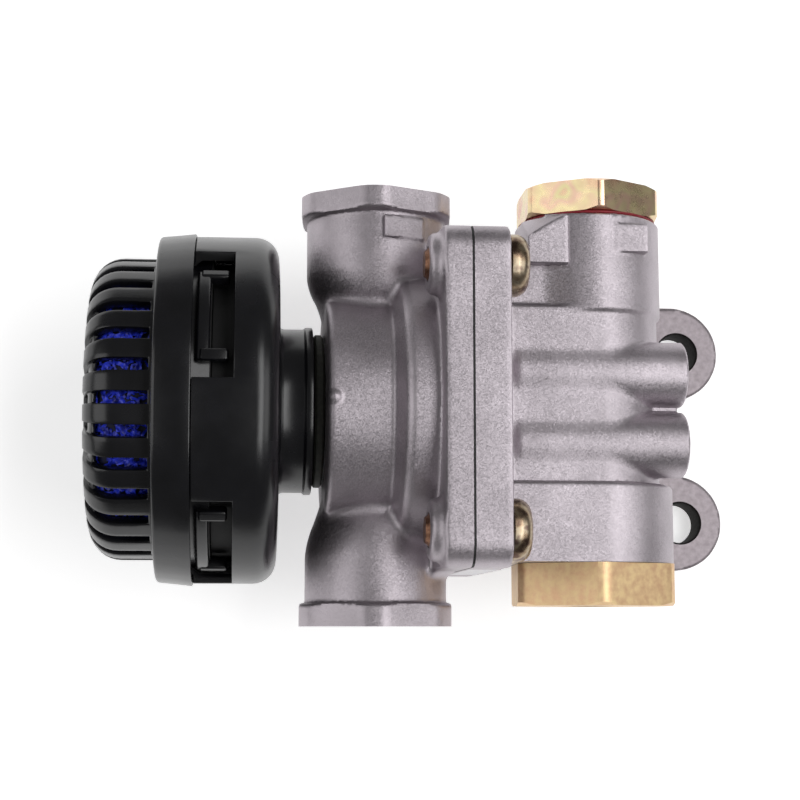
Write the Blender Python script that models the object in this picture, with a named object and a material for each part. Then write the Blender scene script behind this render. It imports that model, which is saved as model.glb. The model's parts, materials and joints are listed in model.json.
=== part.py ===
"""Quick exhaust valve with a silencer, lying on the backs of its mounting lugs.

The valve axis runs along X with the silencer at -X. The two line ports open to +Y and -Y,
and the backs of the lugs lie in the plane z = 0. Every shape below is drawn about the valve
axis, with x = 0 at the joint between the two castings. Lengths are in metres.
"""
import math

import bmesh
import bpy
from mathutils import Matrix, Vector

MM = 0.001

# Clearances that are used everywhere
FACE_GAP = 0.1 * MM
FIT_GAP = 0.3 * MM
CUT_PAST = 1.0 * MM

# Number of facets round a turned shape
ROUND_FACETS = 36
BORE_FACETS = 24
SMALL_FACETS = 16
HOUSING_FACETS = 40
SECTION_FACETS = 5
SPRING_STEPS_PER_TURN = 10
SHARP_ANGLE = 32.0

# Turned ends of the hexagons
HEX_FACE_SHARE = 0.97
HEX_CHAMFER_ANGLE = 30.0

# Joint between the castings
FLANGE_SIDE = 79.5 * MM
FLANGE_CORNER = 6.0 * MM
FLANGE_CHAMFER = 0.8 * MM
LOWER_FLANGE_THICKNESS = 6.6 * MM
UPPER_FLANGE_THICKNESS = 8.6 * MM
GASKET_THICKNESS = 0.35 * MM
SCREW_OFFSET = 31.1 * MM

# Flange screws
SCREW_RADIUS = 3.9 * MM
SCREW_HEAD_RADIUS = 7.75 * MM
SCREW_HEAD_HEIGHT = 5.4 * MM
SCREW_HEAD_RIM = 1.6 * MM
SCREW_SOCKET_FLATS = 5.0 * MM
SCREW_SOCKET_DEPTH = 3.0 * MM
SCREW_TIP_CHAMFER = 0.5 * MM
SCREW_STANDS_PROUD = 0.9 * MM

# Lower casting
LOWER_BODY_LENGTH = 32.4 * MM
BARREL_RADIUS = 28.0 * MM
BARREL_EDGE = 1.6 * MM
BELL_RADIUS = 34.4 * MM
BELL_START = 16.6 * MM
BELL_SLOPE_LENGTH = 4.2 * MM
SCREW_BOSS_RADIUS = 7.2 * MM
SCREW_BOSS_HEIGHT = 3.6 * MM
PISTON_BORE_RADIUS = 29.5 * MM
PISTON_BORE_DEPTH = 9.0 * MM
SEAT_WALL = 2.6 * MM
SEAT_RADIUS = 12.5 * MM
SEAT_LIP_WIDTH = 1.2 * MM
SEAT_LIP_HEIGHT = 1.2 * MM
GUIDE_BORE_RADIUS = 18.6 * MM

# Line ports of the lower casting
PORT_STATION = -19.4 * MM
PORT_REACH = 53.0 * MM
PORT_BORE_RADIUS = 10.2 * MM
PORT_BORE_DEPTH = 20.0 * MM
PORT_MOUTH = 1.0 * MM
PORT_HEX_FLATS = 38.0 * MM
PORT_HEX_CORNER_RADIUS = 20.6 * MM
PORT_HEX_HEIGHT = 6.2 * MM
PORT_BOSS_RADIUS = 17.4 * MM
PORT_BULB_START = 33.5 * MM
PORT_BULB_END = 25.5 * MM
PORT_BULB_ROUNDNESS = 0.55
PORT_ROOT_RADIUS = 11.8 * MM
SUPPLY_PASSAGE_RADIUS = 6.5 * MM
SUPPLY_PASSAGE_OVERLAP = 3.0 * MM
DELIVERY_PASSAGE_RADIUS = 4.5 * MM
DELIVERY_PASSAGE_LEAN = 38.0
PORT_PAD_WIDTH = 11.5 * MM
PORT_PAD_HEIGHT = 6.0 * MM
PORT_PAD_RISE = 0.8 * MM

# Exhaust valve inside the lower casting
GUIDE_LENGTH = 5.0 * MM
GUIDE_COLLAR_RADIUS = 16.9 * MM
GUIDE_MOUTH_RADIUS = 14.5 * MM
GUIDE_MOUTH_DEPTH = 2.5 * MM
RETAINING_RING_WIDTH = 1.3 * MM
RETAINING_RING_BITE = 1.5 * MM
RETAINING_RING_GAP = 24.0
RETAINING_RING_SETBACK = 1.5 * MM
SEAL_SECTION_RADIUS = 0.95 * MM
TUBE_RADIUS = 10.0 * MM
TUBE_BORE_RADIUS = 7.2 * MM
TUBE_SPIGOT_RADIUS = 8.2 * MM
TUBE_TAIL = 0.8 * MM
VALVE_HEAD_RADIUS = 15.2 * MM
VALVE_HEAD_THICKNESS = 2.0 * MM
VALVE_DISC_THICKNESS = 1.5 * MM
VALVE_SPRING_RADIUS = 12.6 * MM
VALVE_SPRING_WIRE = 0.6 * MM
VALVE_SPRING_TURNS = 3.5

# Relay piston
EXHAUST_OPENING = 2.0 * MM
PISTON_THICKNESS = 7.0 * MM
PISTON_STEM_RADIUS = 10.4 * MM
PISTON_LIP_WIDTH = 1.7 * MM
PISTON_CUP_DEPTH = 5.0 * MM
PISTON_TOP_POCKET = 3.0 * MM
PISTON_TOP_WALL = 4.0 * MM
PISTON_SEAL_SETBACK = 1.0 * MM

# Silencer
NECK_SEAL_THICKNESS = 2.3 * MM
NECK_SEAL_RADIUS = 19.0 * MM
NECK_RADIUS = 20.3 * MM
NECK_LIP_RADIUS = 20.8 * MM
NECK_LIP_LENGTH = 1.8 * MM
NECK_LENGTH = 8.2 * MM
NECK_ROOT_CHAMFER = 1.4 * MM
SPIGOT_RADIUS = 14.2 * MM
SPIGOT_BORE_RADIUS = 12.0 * MM
SPIGOT_LENGTH = 4.8 * MM
HOUSING_RADIUS = 42.65 * MM
HOUSING_WALL = 2.5 * MM
HOUSING_LENGTH = 20.5 * MM
HOUSING_EDGE_RADIUS = 5.5 * MM
HOUSING_RIM_STEP = 1.95 * MM
HOUSING_RIM_LENGTH = 7.2 * MM
WINDOW_COUNT = 4
WINDOW_ANGLE = 54.0
WINDOW_FIRST_ANGLE = 30.0
WINDOW_LENGTH = 9.4 * MM
WINDOW_UNDER_COLLAR = 1.6 * MM
CAGE_INSET = 3.7 * MM
CAGE_WALL = 2.5 * MM
CAGE_LENGTH = 17.6 * MM
CAGE_SHOULDER_RADIUS = 7.7 * MM
CAGE_DOME = 0.6 * MM
CAGE_GROOVE_DEPTH = 1.3 * MM
CAGE_GROOVE_START_RADIUS = 24.0 * MM
SLOT_COUNT = 30
SLOT_ANGLE = 4.5
SLOT_FIRST_ANGLE = -3.0
SLOT_OPENS_AT = 50.0
SLOT_STOPS_SHORT = 0.9 * MM
COLLAR_LENGTH = 9.6 * MM
COLLAR_LEFT_WALL = 1.4 * MM
COLLAR_RIGHT_WALL = 2.3 * MM
COLLAR_BACK = 2.2 * MM
COLLAR_EDGE = 0.5 * MM
SLEEVE_WALL = 2.0 * MM
SLEEVE_STANDS_PAST = 4.4 * MM
HOOK_ARM_ANGLE = 5.0
HOOK_ARM_SPREAD = 19.0
HOOK_LENGTH = 4.2 * MM
HOOK_BARB = 2.0 * MM
PAD_BORE_RADIUS = 14.0 * MM
PAD_FRONT = 7.5 * MM

# Upper casting
CROSS_STATION = 34.6 * MM
WAIST_HALF_DEPTH = 17.0 * MM
WAIST_LOW = -21.0 * MM
WEB_HALF_DEPTH = 8.5 * MM
LOWER_BLOCK_HALF_DEPTH = 20.4 * MM
LOWER_BLOCK_LOW = -38.1 * MM
LOWER_BLOCK_HIGH = -19.3 * MM
TOP_BOSS_RADIUS = 18.2 * MM
TOP_BOSS_LOW = 23.2 * MM
TOP_BOSS_HIGH = 47.8 * MM
BLOCK_CHAMFER = 0.8 * MM
NOZZLE_RADIUS = 8.0 * MM
NOZZLE_OFFSET = 8.75 * MM
NOZZLE_HEIGHT = 10.0 * MM
NOZZLE_START = 11.0 * MM
NOZZLE_END = 56.4 * MM
NOZZLE_BORE_RADIUS = 4.3 * MM
NOZZLE_BORE_DEPTH = 12.0 * MM
CHANNEL_RADIUS = 1.6 * MM
LEFT_PAD_LOW = 33.8 * MM
LEFT_PAD_HIGH = 46.4 * MM
LEFT_PAD_INNER = 7.4 * MM
LEFT_PAD_HEIGHT = 18.5 * MM
RIGHT_PAD_LOW = 37.6 * MM
RIGHT_PAD_HIGH = 44.8 * MM
RIGHT_PAD_INNER = 4.0 * MM
RIGHT_PAD_OUTER = 14.6 * MM
RIGHT_PAD_HEIGHT = 17.3 * MM
PISTON_RECESS_DEPTH = 2.6 * MM
CONTROL_PASSAGE_RADIUS = 2.5 * MM
CROSS_BORE_RADIUS = 12.3 * MM
PLUG_BORE_RADIUS = 13.3 * MM
PLUG_BORE_DEPTH = 11.0 * MM

# Mounting foot
LUG_STATION = 65.4 * MM
LUG_HIGH = 21.2 * MM
LUG_LOW = -25.8 * MM
LUG_RADIUS = 13.1 * MM
LUG_HOLE_RADIUS = 6.6 * MM
LUG_THICKNESS = 9.0 * MM
LUG_ROOT = 38.0 * MM
AXIS_HEIGHT = 45.0 * MM
FOOT_LEFT = 18.0 * MM
FOOT_RIGHT = 50.0 * MM
FOOT_OVERLAP = 1.1 * MM
FOOT_WEB_THICKNESS = 10.0 * MM
FOOT_RIB_THICKNESS = 8.0 * MM

# Hexagon plug with its washer, and the brass fitting
PLUG_FLATS = 34.0 * MM
PLUG_CORNER_RADIUS = 18.9 * MM
PLUG_HEX_HEIGHT = 7.9 * MM
PLUG_TURN = 10.0
PLUG_SHANK_LENGTH = 25.0 * MM
PLUG_POCKET_RADIUS = 9.6 * MM
PLUG_POCKET_DEPTH = 14.0 * MM
WASHER_THICKNESS = 0.8 * MM
WASHER_RADIUS = 17.4 * MM
FITTING_FLATS = 38.6 * MM
FITTING_CORNER_RADIUS = 21.6 * MM
FITTING_HEX_HEIGHT = 9.8 * MM
FITTING_TURN = 6.0
FITTING_SHANK_LENGTH = 12.4 * MM
FITTING_BORE_RADIUS = 7.6 * MM
FITTING_GROOVE_SETBACK = 8.0 * MM

# Shuttle in the cross bore
SHUTTLE_LENGTH = 18.0 * MM
SHUTTLE_WALL = 2.6 * MM
SHUTTLE_HEAD = 5.0 * MM
SHUTTLE_SEAL_SETBACK = 3.0 * MM
SHUTTLE_SPRING_RADIUS = 7.6 * MM
SHUTTLE_SPRING_WIRE = 0.7 * MM
SHUTTLE_SPRING_TURNS = 6.5

# Places that follow from the sizes above, left to right along the valve axis
LOWER_FACE = -GASKET_THICKNESS / 2 - FACE_GAP
UPPER_FACE = GASKET_THICKNESS / 2 + FACE_GAP
LOWER_FLANGE_BACK = LOWER_FACE - LOWER_FLANGE_THICKNESS
UPPER_FLANGE_BACK = UPPER_FACE + UPPER_FLANGE_THICKNESS
BARREL_END = LOWER_FACE - LOWER_BODY_LENGTH
CHAMBER_END = LOWER_FACE - PISTON_BORE_DEPTH
SEAT_BACK = CHAMBER_END - SEAT_WALL
SEAT_FACE = SEAT_BACK - SEAT_LIP_HEIGHT
RING_LEFT = BARREL_END + RETAINING_RING_SETBACK
GUIDE_SHOULDER = RING_LEFT + RETAINING_RING_WIDTH + 2 * FACE_GAP
GUIDE_RIGHT = GUIDE_SHOULDER + GUIDE_LENGTH
GUIDE_RADIUS = GUIDE_BORE_RADIUS - FIT_GAP
SEAL_GROOVE_WIDTH = 2 * SEAL_SECTION_RADIUS + FIT_GAP
SEAL_GROOVE_DEPTH = 2 * SEAL_SECTION_RADIUS + FACE_GAP
DISC_RIGHT = SEAT_FACE - FIT_GAP
DISC_LEFT = DISC_RIGHT - VALVE_DISC_THICKNESS
HEAD_RIGHT = DISC_LEFT - FACE_GAP
HEAD_LEFT = HEAD_RIGHT - VALVE_HEAD_THICKNESS
PISTON_LIP = DISC_RIGHT + EXHAUST_OPENING
PISTON_RADIUS = PISTON_BORE_RADIUS - FIT_GAP
PISTON_RIGHT = UPPER_FACE + PISTON_RECESS_DEPTH - FIT_GAP
PISTON_LEFT = PISTON_RIGHT - PISTON_THICKNESS
NECK_RIGHT = BARREL_END - FIT_GAP - NECK_SEAL_THICKNESS - FIT_GAP
NECK_LEFT = NECK_RIGHT - NECK_LENGTH
HOUSING_LEFT = NECK_LEFT - HOUSING_LENGTH
RIM_LEFT = HOUSING_LEFT - HOUSING_RIM_LENGTH
COLLAR_RIGHT = HOUSING_LEFT - FACE_GAP
COLLAR_LEFT = COLLAR_RIGHT - COLLAR_LENGTH
CAGE_TIP = COLLAR_LEFT - CAGE_LENGTH
HOUSING_RIM_RADIUS = HOUSING_RADIUS - HOUSING_RIM_STEP
SLEEVE_RADIUS = HOUSING_RIM_RADIUS - SLEEVE_WALL - FIT_GAP
CAGE_RADIUS = HOUSING_RIM_RADIUS - CAGE_INSET
COLLAR_BORE_RADIUS = HOUSING_RIM_RADIUS + FIT_GAP
COLLAR_SMALL_RADIUS = COLLAR_BORE_RADIUS + COLLAR_LEFT_WALL
COLLAR_LARGE_RADIUS = COLLAR_BORE_RADIUS + COLLAR_RIGHT_WALL
PLUG_SEAT = TOP_BOSS_HIGH + FACE_GAP + WASHER_THICKNESS + FACE_GAP
PLUG_TOP = PLUG_SEAT + PLUG_HEX_HEIGHT
PLUG_END = PLUG_SEAT - PLUG_SHANK_LENGTH
FITTING_SEAT = LOWER_BLOCK_LOW - FACE_GAP
FITTING_END = FITTING_SEAT + FITTING_SHANK_LENGTH
SHUTTLE_RADIUS = CROSS_BORE_RADIUS - FIT_GAP
SHUTTLE_LOW = FITTING_END + FIT_GAP
LUG_RIGHT = LUG_STATION + LUG_RADIUS

AXIS_TURNS = {
    "X": (0.0, math.pi / 2, 0.0),
    "Y": (-math.pi / 2, 0.0, 0.0),
    "Z": (0.0, 0.0, 0.0),
}

MATERIALS = {
    "cast_aluminium": ((0.40, 0.40, 0.41), 0.9, 0.5),
    "black_plastic": ((0.008, 0.008, 0.009), 0.0, 0.3),
    "blue_mesh": ((0.02, 0.03, 0.55), 0.0, 0.6),
    "gold_zinc": ((0.62, 0.47, 0.20), 1.0, 0.3),
    "brass": ((0.62, 0.42, 0.14), 1.0, 0.35),
    "red_fibre": ((0.30, 0.01, 0.01), 0.0, 0.6),
    "black_rubber": ((0.012, 0.012, 0.012), 0.0, 0.7),
    "grey_seal": ((0.05, 0.055, 0.05), 0.0, 0.6),
    "turned_aluminium": ((0.55, 0.55, 0.56), 1.0, 0.3),
    "spring_steel": ((0.35, 0.35, 0.36), 1.0, 0.3),
}


def clear_scene():
    for item in list(bpy.data.objects):
        bpy.data.objects.remove(item, do_unlink=True)


def make_material(name):
    colour, metallic, roughness = MATERIALS[name]
    material = bpy.data.materials.get(name) or bpy.data.materials.new(name)
    material.use_nodes = True
    shader = material.node_tree.nodes["Principled BSDF"]
    shader.inputs["Base Color"].default_value = (*colour, 1.0)
    shader.inputs["Metallic"].default_value = metallic
    shader.inputs["Roughness"].default_value = roughness
    return material


def make_object(name, shape, material, place, axis):
    """Turn a bmesh, drawn along Z, into an object that stands at a place of the valve."""
    bmesh.ops.recalc_face_normals(shape, faces=shape.faces[:])
    mesh = bpy.data.meshes.new(name)
    shape.to_mesh(mesh)
    shape.free()
    mesh.shade_smooth()
    mesh.set_sharp_from_angle(angle=math.radians(SHARP_ANGLE))
    mesh.materials.append(make_material(material))
    item = bpy.data.objects.new(name, mesh)
    item.parent = VALVE
    item.location = place
    item.rotation_euler = AXIS_TURNS[axis]
    bpy.context.scene.collection.objects.link(item)
    return item


def bridge(shape, first, second):
    """Join two rows of corners with faces. A row of one corner is a point on the axis."""
    count = max(len(first), len(second))
    for index in range(count):
        after = (index + 1) % count
        corners = [
            first[index % len(first)],
            first[after % len(first)],
            second[after % len(second)],
            second[index % len(second)],
        ]
        shape.faces.new(list(dict.fromkeys(corners)))


def skin(name, rings, material, place=(0, 0, 0), axis="X", closed=False):
    """Body through a list of rings. A closed one runs back to its first ring."""
    shape = bmesh.new()
    rows = [[shape.verts.new(point) for point in ring] for ring in rings]
    for first, second in zip(rows, rows[1:]):
        bridge(shape, first, second)
    if closed:
        bridge(shape, rows[-1], rows[0])
    else:
        for end in (rows[0], rows[-1]):
            if len(end) > 2:
                shape.faces.new(end)
    return make_object(name, shape, material, place, axis)


def circle(station, radius, count):
    if radius == 0:
        return [Vector((0, 0, station))]
    turns = [2 * math.pi * index / count for index in range(count)]
    return [Vector((radius * math.cos(a), radius * math.sin(a), station)) for a in turns]


def turned(name, profile, material, place=(0, 0, 0), axis="X", count=ROUND_FACETS):
    """Body of revolution. The profile lists (station, radius) once round its section."""
    rings = [circle(station, radius, count) for station, radius in profile]
    return skin(name, rings, material, place, axis, closed=profile[0][1] > 0)


def hexagon_reach(angle, flats, corner_radius):
    """Distance from the axis to the side of a hexagon whose corners are turned off."""
    side = math.pi / 3
    from_flat = (angle + side / 2) % side - side / 2
    return min(flats / 2 / math.cos(from_flat), corner_radius)


def hexagon_rings(low, high, flats, corner_radius, turn, low_chamfer, high_chamfer):
    """Rings up a hexagon. A chamfered end is turned to a cone, which scallops its edge."""
    angles = [2 * math.pi * index / BORE_FACETS for index in range(BORE_FACETS)]
    reaches = [hexagon_reach(a - turn, flats, corner_radius) for a in angles]
    face_radius = flats / 2 * HEX_FACE_SHARE
    cone = math.tan(math.radians(HEX_CHAMFER_ANGLE))

    def row(station, direction, chamfered):
        points = []
        for angle, reach in zip(angles, reaches):
            drop = (reach - face_radius) * cone if chamfered else 0
            points.append(Vector((
                reach * math.cos(angle), reach * math.sin(angle), station + direction * drop)))
        return points

    rings = []
    if low_chamfer:
        rings.append(circle(low, face_radius, BORE_FACETS))
    rings.append(row(low, 1, low_chamfer))
    rings.append(row(high, -1, high_chamfer))
    if high_chamfer:
        rings.append(circle(high, face_radius, BORE_FACETS))
    return rings


def rounded_rectangle(low, high, corner, inset, steps=3):
    """Outline in X and Y between two corner points, drawn in by an inset."""
    radius = max(corner - inset, 0.1 * MM)
    points = []
    quarters = ((high[0], high[1], 0), (low[0], high[1], 1), (low[0], low[1], 2), (high[0], low[1], 3))
    for x, y, quarter in quarters:
        centre_x = x - corner if x == high[0] else x + corner
        centre_y = y - corner if y == high[1] else y + corner
        for step in range(steps + 1):
            angle = math.pi / 2 * (quarter + step / steps)
            points.append((centre_x + radius * math.cos(angle), centre_y + radius * math.sin(angle)))
    return points


def tongue(left, centre, radius, inset, steps=10):
    """Outline in X and Y of a strip from the left that ends in a half circle."""
    reach = radius - inset
    points = [(left, -reach)]
    for step in range(steps + 1):
        angle = math.pi * (step / steps - 0.5)
        points.append((centre + reach * math.cos(angle), reach * math.sin(angle)))
    points.append((left, reach))
    return points


def prism(name, outline, low, high, chamfer, material, place=(0, 0, 0), axis="Z"):
    """Straight body on an outline, with a chamfer round both ends. Outline takes an inset."""
    levels = [(low, 0.0), (high, 0.0)]
    if chamfer:
        levels = [(low, chamfer), (low + chamfer, 0.0), (high - chamfer, 0.0), (high, chamfer)]
    rings = [[Vector((x, y, z)) for x, y in outline(inset)] for z, inset in levels]
    return skin(name, rings, material, place, axis)


def block(name, low, high, material):
    """Plain box between two corners."""
    centre = (Vector(low) + Vector(high)) / 2
    size = Vector(high) - Vector(low)
    shape = bmesh.new()
    bmesh.ops.create_cube(shape, size=1.0, matrix=Matrix.Diagonal((*size, 1.0)))
    return make_object(name, shape, material, centre, "Z")


def combine(item, operation, *tools, solver="EXACT"):
    """Add tools to a body or cut them out of it, and hide them."""
    for tool in tools:
        modifier = item.modifiers.new(tool.name, "BOOLEAN")
        modifier.operation = operation
        modifier.solver = solver
        modifier.object = tool
        tool.hide_render = True
        tool.display_type = "WIRE"


def machine(casting, *tools):
    """Cut holes and bores into a casting. Many of them end on one face, as its ports do."""
    combine(casting, "DIFFERENCE", *tools, solver="MANIFOLD")


def stepped_shell(name, layers, angles, level_of, material, place=(0, 0, 0), axis="X"):
    """Shell of revolution with slots and grooves.

    Each layer is a list of (station, radius), row by row, from the inside out, and may repeat
    a place. The cell between two rows and two angles is filled up to the layer that level_of
    gives: 0 is an opening, and the last layer is the full wall.
    """
    shape = bmesh.new()
    last_row = len(layers[0]) - 1
    columns = len(angles)
    corners = {}

    def corner(layer, row, column):
        station, radius = layers[layer][row]
        turn = column % columns if radius else 0
        key = (station, radius, turn)
        if key not in corners:
            angle = angles[turn]
            point = (radius * math.cos(angle), radius * math.sin(angle), station)
            corners[key] = shape.verts.new(point)
        return corners[key]

    def face(*keys):
        points = list(dict.fromkeys(corner(*key) for key in keys))
        if len(points) > 2:
            shape.faces.new(points)

    def level(row, column):
        inside = 0 <= row < last_row
        return level_of(row, column % columns) if inside else 0

    def wall(levels, start, end):
        for layer in range(min(levels), max(levels)):
            face((layer, *start), (layer, *end), (layer + 1, *end), (layer + 1, *start))

    for row in range(last_row + 1):
        for column in range(columns):
            here = level(row, column)
            if here:
                for layer in (0, here):
                    face((layer, row, column), (layer, row, column + 1),
                         (layer, row + 1, column + 1), (layer, row + 1, column))
            wall((here, level(row - 1, column)), (row, column), (row, column + 1))
            if row < last_row:
                wall((here, level(row, column - 1)), (row, column), (row + 1, column))
    return make_object(name, shape, material, place, axis)


def coil_spring(name, low, high, radius, wire, turns, material, place, axis):
    """Round wire spring whose first and last turns are closed."""
    closed_pitch = 2 * wire + FIT_GAP
    start, end = low + wire, high - wire
    open_pitch = (end - start - 2 * closed_pitch) / (turns - 2)
    steps_per_turn = SPRING_STEPS_PER_TURN
    rings = []
    for step in range(int(turns * steps_per_turn) + 1):
        turn = step / steps_per_turn
        angle = 2 * math.pi * turn
        height = start + closed_pitch * min(turn, 1)
        height += open_pitch * min(max(turn - 1, 0), turns - 2)
        height += closed_pitch * max(turn - turns + 1, 0)
        outward = Vector((math.cos(angle), math.sin(angle), 0))
        centre = outward * radius + Vector((0, 0, height))
        ring = []
        for side in range(SECTION_FACETS):
            tilt = 2 * math.pi * side / SECTION_FACETS
            ring.append(centre + wire * (math.cos(tilt) * outward + Vector((0, 0, math.sin(tilt)))))
        rings.append(ring)
    return skin(name, rings, material, place, axis)


def seal_ring(name, centre, inner_radius, place=(0, 0, 0), axis="X"):
    """Round rubber ring whose inside has the given radius."""
    section = SEAL_SECTION_RADIUS
    middle = inner_radius + section
    steps = [2 * math.pi * (side + 0.5) / SECTION_FACETS for side in range(SECTION_FACETS)]
    profile = [(centre + section * math.sin(a), middle + section * math.cos(a)) for a in steps]
    return turned(name, profile, "black_rubber", place, axis, BORE_FACETS)


def groove(bottom, centre):
    """Profile points of a square groove for a seal ring, left to right at its bottom."""
    half = SEAL_GROOVE_WIDTH / 2
    return [(centre - half, bottom), (centre + half, bottom)]


def screw_places():
    signs = ((1, 1), (1, -1), (-1, -1), (-1, 1))
    return [(0, SCREW_OFFSET * up, SCREW_OFFSET * out) for up, out in signs]


def square_flange(name, low, high):
    half = FLANGE_SIDE / 2

    def outline(inset):
        return rounded_rectangle((-half + inset, -half + inset), (half - inset, half - inset),
                                 FLANGE_CORNER, inset)

    return prism(name, outline, low, high, FLANGE_CHAMFER, "cast_aluminium", axis="X")


def port_boss(name, side):
    """Round boss of a line port with its hexagon end, reaching along +Z before it is turned."""
    profile = [(0, PORT_ROOT_RADIUS), (PORT_BULB_END, PORT_ROOT_RADIUS)]
    lift = PORT_BULB_START - PORT_BULB_END
    grow = PORT_BOSS_RADIUS - PORT_ROOT_RADIUS
    for step in (1, 2, 3):
        angle = math.pi / 2 * step / 3
        round_share = (1 - math.cos(angle)) * PORT_BULB_ROUNDNESS
        straight_share = step / 3 * (1 - PORT_BULB_ROUNDNESS)
        profile.append((PORT_BULB_END + lift * (round_share + straight_share),
                        PORT_ROOT_RADIUS + grow * math.sin(angle)))
    profile.append((PORT_REACH - PORT_HEX_HEIGHT, PORT_BOSS_RADIUS))
    rings = [circle(station, radius, BORE_FACETS) for station, radius in profile]
    rings += hexagon_rings(PORT_REACH - PORT_HEX_HEIGHT, PORT_REACH, PORT_HEX_FLATS,
                           PORT_HEX_CORNER_RADIUS, 0, True, False)
    boss = skin(name, rings, "cast_aluminium", (PORT_STATION, 0, 0), "Y")
    if side < 0:
        boss.rotation_euler = (math.pi / 2, 0, 0)
    return boss


def port_bore(name, side):
    floor = PORT_REACH - PORT_BORE_DEPTH
    mouth = PORT_BORE_RADIUS + PORT_MOUTH
    profile = [(floor, 0), (floor, PORT_BORE_RADIUS), (PORT_REACH - PORT_MOUTH, PORT_BORE_RADIUS),
               (PORT_REACH, mouth), (PORT_REACH + CUT_PAST, mouth), (PORT_REACH + CUT_PAST, 0)]
    bore = turned(name, profile, "cast_aluminium", (PORT_STATION, 0, 0), "Y", BORE_FACETS)
    if side < 0:
        bore.rotation_euler = (math.pi / 2, 0, 0)
    return bore


def make_lower_body():
    slope_end = LOWER_FACE - BELL_START + BELL_SLOPE_LENGTH
    body = turned("lower_body", [
        (BARREL_END, 0),
        (BARREL_END, BARREL_RADIUS - BARREL_EDGE),
        (BARREL_END + BARREL_EDGE, BARREL_RADIUS),
        (LOWER_FACE - BELL_START, BARREL_RADIUS),
        (slope_end, BELL_RADIUS - BARREL_EDGE),
        (slope_end + BARREL_EDGE, BELL_RADIUS),
        (LOWER_FLANGE_BACK + CUT_PAST, BELL_RADIUS),
        (LOWER_FLANGE_BACK + CUT_PAST, 0)], "cast_aluminium")
    combine(body, "UNION", square_flange("lower_flange", LOWER_FLANGE_BACK, LOWER_FACE))
    for number, place in enumerate(screw_places(), 1):
        base = LOWER_FLANGE_BACK + CUT_PAST
        top = LOWER_FLANGE_BACK - SCREW_BOSS_HEIGHT
        profile = [(base, 0), (base, SCREW_BOSS_RADIUS), (top + BARREL_EDGE, SCREW_BOSS_RADIUS),
                   (top, SCREW_BOSS_RADIUS - BARREL_EDGE), (top, 0)]
        boss = turned(f"screw_boss_{number}", profile, "cast_aluminium", place, "X", SMALL_FACETS)
        combine(body, "UNION", boss)
    for side in (1, -1):
        combine(body, "UNION", port_boss(f"port_boss_{side}", side))
    pad_top = PORT_REACH - PORT_HEX_HEIGHT + CUT_PAST
    combine(body, "UNION", block("port_pad", (
        PORT_STATION, pad_top - PORT_PAD_HEIGHT - CUT_PAST, 0), (
        PORT_STATION + PORT_PAD_WIDTH, pad_top, PORT_BOSS_RADIUS + PORT_PAD_RISE), "cast_aluminium"))

    groove_left = RING_LEFT - FACE_GAP
    groove_right = RING_LEFT + RETAINING_RING_WIDTH + FACE_GAP
    groove_radius = GUIDE_BORE_RADIUS + RETAINING_RING_BITE
    lip_radius = SEAT_RADIUS + SEAT_LIP_WIDTH
    valve_cavity = turned("valve_cavity", [
        (BARREL_END - CUT_PAST, 0),
        (BARREL_END - CUT_PAST, GUIDE_BORE_RADIUS),
        (groove_left, GUIDE_BORE_RADIUS),
        (groove_left, groove_radius),
        (groove_right, groove_radius),
        (groove_right, GUIDE_BORE_RADIUS),
        (SEAT_BACK, GUIDE_BORE_RADIUS),
        (SEAT_BACK, lip_radius),
        (SEAT_FACE, lip_radius),
        (SEAT_FACE, SEAT_RADIUS),
        (CHAMBER_END + CUT_PAST, SEAT_RADIUS),
        (CHAMBER_END + CUT_PAST, 0)], "cast_aluminium", count=BORE_FACETS)
    piston_bore = turned("piston_bore", [
        (CHAMBER_END, 0),
        (CHAMBER_END, PISTON_BORE_RADIUS),
        (LOWER_FACE + CUT_PAST, PISTON_BORE_RADIUS),
        (LOWER_FACE + CUT_PAST, 0)], "cast_aluminium", count=BORE_FACETS)
    machine(body, valve_cavity, piston_bore)
    for side in (1, -1):
        machine(body, port_bore(f"port_bore_{side}", side))
    bore_floor = PORT_REACH - PORT_BORE_DEPTH
    supply = turned("supply_passage", [
        (GUIDE_BORE_RADIUS - SUPPLY_PASSAGE_OVERLAP, 0),
        (GUIDE_BORE_RADIUS - SUPPLY_PASSAGE_OVERLAP, SUPPLY_PASSAGE_RADIUS),
        (bore_floor + CUT_PAST, SUPPLY_PASSAGE_RADIUS),
        (bore_floor + CUT_PAST, 0)], "cast_aluminium",
        (PORT_STATION - DELIVERY_PASSAGE_RADIUS / 2, 0, 0), "Y", SMALL_FACETS)
    lean = math.radians(DELIVERY_PASSAGE_LEAN)
    delivery_start = PORT_STATION + DELIVERY_PASSAGE_RADIUS / 2
    delivery_length = (CHAMBER_END - delivery_start) / math.sin(lean) + CUT_PAST
    delivery = turned("delivery_passage", [
        (-CUT_PAST, 0),
        (-CUT_PAST, DELIVERY_PASSAGE_RADIUS),
        (delivery_length, DELIVERY_PASSAGE_RADIUS),
        (delivery_length, 0)], "cast_aluminium",
        (delivery_start, -bore_floor, 0), "Y", SMALL_FACETS)
    delivery.rotation_euler = (Matrix.Rotation(-lean, 3, "Z") @ Matrix.Rotation(
        -math.pi / 2, 3, "X")).to_euler()
    machine(body, supply, delivery)
    for number, place in enumerate(screw_places(), 1):
        cut_screw_hole(body, f"lower_screw_hole_{number}", place,
                       LOWER_FLANGE_BACK - SCREW_BOSS_HEIGHT, LOWER_FACE)
    return body


def cut_screw_hole(body, name, place, low, high):
    radius = SCREW_RADIUS + FIT_GAP
    start, end = low - CUT_PAST, high + CUT_PAST
    profile = [(start, 0), (start, radius), (end, radius), (end, 0)]
    machine(body, turned(name, profile, "cast_aluminium", place, "X", SMALL_FACETS))


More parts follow.
